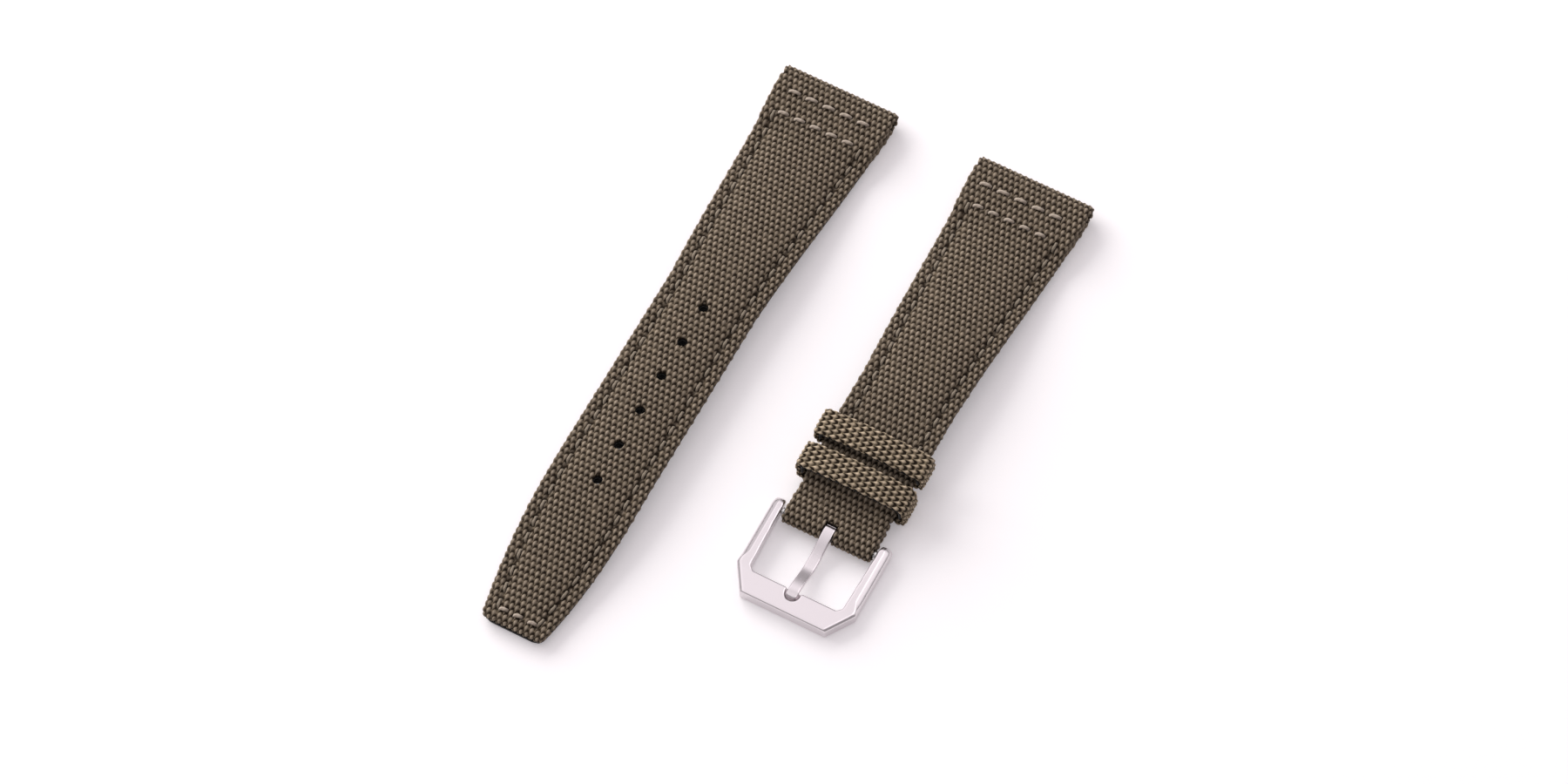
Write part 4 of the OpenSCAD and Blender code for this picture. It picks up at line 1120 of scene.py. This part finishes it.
def tumbled(name, node, grain, passes, filed, body):
    """The node's shape as a fine even mesh, its edges rounded as tumbling leaves them. passes(points)
    says how many times each point is drawn towards its neighbours, and filed(points) how many mm it
    is lowered after that."""
    shape = bpy.data.meshes.new(name + "_sharp")
    cad = cad_shape(node)
    bmesh.ops.scale(cad, verts=cad.verts, vec=(1 / MM,) * 3)
    cad.to_mesh(shape)
    cad.free()
    maker = in_scene(name + "_sharp", shape)
    fine = maker.modifiers.new("fine", "REMESH")
    fine.mode, fine.voxel_size = "VOXEL", grain
    mesh = bpy.data.meshes.new_from_object(maker.evaluated_get(bpy.context.evaluated_depsgraph_get()))
    bpy.data.objects.remove(maker)
    n = len(mesh.vertices)
    p, e = np.zeros(3 * n, np.float32), np.zeros(2 * len(mesh.edges), np.int32)
    mesh.vertices.foreach_get("co", p)
    mesh.edges.foreach_get("vertices", e)
    p, e = p.reshape(-1, 3).astype(float), e.reshape(-1, 2)
    count = np.bincount(e.ravel(), minlength=n)
    wanted = passes(p)
    for k in range(int(wanted.max())):
        near = np.stack([np.bincount(e[:, 0], p[e[:, 1], a], n) + np.bincount(e[:, 1], p[e[:, 0], a], n)
                         for a in range(3)], 1) / count[:, None]
        p += (near - p) * 0.5 * np.clip(wanted - k, 0, 1)[:, None]
    p[:, 2] -= filed(p)
    mesh.vertices.foreach_set("co", (p * MM).astype(np.float32).ravel())
    mesh.polygons.foreach_set("use_smooth", np.ones(len(mesh.polygons), bool))
    mesh.update()
    mesh.materials.clear()
    mesh.materials.append(satin)
    piece = in_scene(name, mesh)
    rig.ride(piece, body)
    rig.replaces(piece, node)
    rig.slot(piece, "steel")


BAR_Y = SHORT["y"] - BAR_S
FRAME_PASSES, ARM_PASSES, EAR_PASSES, TONGUE_PASSES = 8, 26, 34, 10
FRAME_GRAIN, TONGUE_GRAIN = 0.13, 0.09
ARM_OUT, CORNER_Y, FACET, FACET_SLOPE = 11.3, -11.95, 1.2, 0.42
DIP, DIP_FRONT, DIP_LENGTH = 0.28, 7.2, 2.4
TIP_TRAVEL = 0.0012


def frame_wear(p):
    """Rounder on the outer sides of the arms and most at the ends of the ears."""
    x, y = np.abs(p[:, 0] - SHORT["x"]), p[:, 1] - BAR_Y
    arm = ease((x - 9.9) / 0.8) * ease((y + 11.5) / 2)
    return FRAME_PASSES + ARM_PASSES * arm + EAR_PASSES * ease((y - 0.2) / 1.2)


def arm_facets(p):
    """The outer half of each arm's top slopes down to its side, from the front corner to the ear."""
    x, y = np.abs(p[:, 0] - SHORT["x"]), p[:, 1] - BAR_Y
    ridge = ARM_OUT - FACET * ease((y - CORNER_Y + 0.4) / 3.2)
    return FACET_SLOPE * np.maximum(0, x - ridge) * np.clip((p[:, 2] - 1.3) / 0.6, 0, 1)


def tongue_wear(p):
    return TONGUE_PASSES + 0 * p[:, 0]


def tongue_dip(p):
    """The tongue is pressed down a little more in its middle."""
    return DIP * np.exp(-((BAR_Y - p[:, 1] - DIP_FRONT) / DIP_LENGTH) ** 2)


tumbled("satin_buckle_frame", "buckle_frame", FRAME_GRAIN, frame_wear, arm_facets, "buckle")
tumbled("satin_tongue", "buckle_tongue", TONGUE_GRAIN, tongue_wear, tongue_dip, "tongue")
for side, tip in ((-1, "left"), (1, "right")):
    mesh = bpy.data.meshes.new(tip + "_half_of_spring")
    coil = cad_shape("spring_bar_spring")
    middle = (SHORT["x"] * MM, 0, 0)
    cut = bmesh.ops.bisect_plane(coil, geom=coil.verts[:] + coil.edges[:] + coil.faces[:], plane_co=middle,
                                 plane_no=(side, 0, 0), clear_inner=True)
    bmesh.ops.edgenet_fill(coil, edges=[e for e in cut["geom_cut"] if isinstance(e, bmesh.types.BMEdge)])
    coil.to_mesh(mesh)
    coil.free()
    mesh.materials.append(turned)
    coil = in_scene(mesh.name, mesh)
    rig.ride(coil, "short_half")
    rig.replaces(coil, "spring_bar_spring")
    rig.slot(coil, "bar_steel")
    reach = max(abs(v.co.x - middle[0]) for v in mesh.vertices)
    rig.squash(coil, f"bar_tip_{tip}_slide", axis=(1, 0, 0), anchor=middle, keep=1 - TIP_TRAVEL / reach)
for node in ("spring_bar_tube", "spring_bar_tip_left", "spring_bar_tip_right"):
    mesh = frame["nodes"][node].data
    mesh.materials.clear()
    mesh.materials.append(turned)

# The photograph's studio.
# A pale sheet of board, with a painted glow that grows away from the strap, lies under one broad soft
# light from the upper left, inside a pale tent that the steel mirrors.
scene.view_settings.view_transform = "Standard"
PALE = (1, 0.95, 0.98, 1)
floor_mesh = bpy.data.meshes.new("floor")
floor_mesh.from_pydata([(-3, -3, 0), (3, -3, 0), (3, 3, 0), (-3, 3, 0)], [], [(0, 1, 2, 3)])
floor = in_scene("floor", floor_mesh)
floor.location.z = -0.00005
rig.stage(floor)
board, card, board_skin = fresh_material("board", {
    "Base Color": (0.96, 0.94, 0.95, 1), "Roughness": 0.9, "Specular IOR Level": 0.1, "Emission Color": PALE})
# Painted glow: the board glows for camera, glossy and transmission rays only, from 0.24 near the strap to 1 at 0.6 m,
# which whitens the floor and lifts its shadows.
spot = add_node(card, "ShaderNodeNewGeometry", {}).outputs["Position"]
far = add_node(card, "ShaderNodeVectorMath", {0: spot}, operation="LENGTH").outputs["Value"]
glow_with_distance = spread_out(card, far, 0.12, 0.6, 0.24, 1.0, interpolation_type="SMOOTHSTEP")
seen = add_node(card, "ShaderNodeLightPath", {}).outputs
shown = seen["Is Camera Ray"]
for ray in ("Is Glossy Ray", "Is Transmission Ray"):
    shown = add_node(card, "ShaderNodeMath", {0: shown, 1: seen[ray]}, operation="MAXIMUM").outputs[0]
glow = add_node(card, "ShaderNodeMath", {0: shown, 1: glow_with_distance}, operation="MULTIPLY").outputs[0]
set_inputs(card, board_skin, {"Emission Strength": glow})
floor_mesh.materials.append(board)

SENSOR, FOCUS, PHOTO_WIDTH, DISTANCE = 36, 7057, 1800, 1.053
camera = in_scene("camera", bpy.data.cameras.new("camera"))
camera.data.sensor_width = SENSOR
camera.data.lens = SENSOR * FOCUS / PHOTO_WIDTH
camera.data.clip_end = 10
view_from = Vector((0.2245, -0.4187, 0.880)).normalized()
aim = Vector((-0.0009, 0.00275, 0))
camera.location = aim + view_from * DISTANCE
camera.rotation_euler = (-view_from).to_track_quat("-Z", "Y").to_euler()
scene.camera = camera
key = in_scene("key", bpy.data.lights.new("key", "AREA"))
key.data.shape, key.data.size, key.data.size_y = "RECTANGLE", 1.5, 1.1
key.data.energy, key.data.color = 19, (1, 1, 0.98)
key.location = (-1.15, 0.45, 0.55)
key.rotation_euler = (-key.location).to_track_quat("-Z", "Y").to_euler()
key.visible_glossy = False
world = bpy.data.worlds.new("studio")
scene.world = world
world.use_nodes = True
sky = world.node_tree
toward = add_node(sky, "ShaderNodeTexCoord", {}).outputs["Generated"]
rays = add_node(sky, "ShaderNodeLightPath", {}).outputs


def tent_light(direction, start, end, low, high):
    """The tent's brightness, from low on the side away from a direction to high on its side."""
    side = add_node(sky, "ShaderNodeVectorMath", {0: toward, 1: direction}, operation="DOT_PRODUCT")
    return spread_out(sky, side.outputs["Value"], start, end, low, high, interpolation_type="SMOOTHSTEP")


def pick(ray, other, this):
    """The brightness for a kind of ray, and another for all the rest."""
    return add_node(sky, "ShaderNodeMix", {0: rays[ray], 2: other, 3: this}).outputs[0]


lighting = tent_light((-0.7, 0.45, 0.55), -0.5, 0.9, 0.24, 0.78)
mirrored = tent_light((-0.15, 0.2, 0.97), 0.66, 0.93, 0.35, 1.0)
for panel in (tent_light((0.53, 0.42, 0.74), 0.75, 0.95, 0.0, 0.9),
              tent_light((-0.85, 0.33, 0.41), 0.5, 0.95, 0.0, 0.5)):
    mirrored = add_node(sky, "ShaderNodeMath", {0: mirrored, 1: panel}, operation="ADD").outputs[0]
through = pick("Is Transmission Ray", pick("Is Glossy Ray", lighting, mirrored), 1.0)
strength = pick("Is Camera Ray", through, 1.0)
set_inputs(sky, sky.nodes["Background"], {"Color": PALE, "Strength": strength})

json.dump([cad_box, [list(corner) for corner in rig.bounds()]], open("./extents.json", "w"))
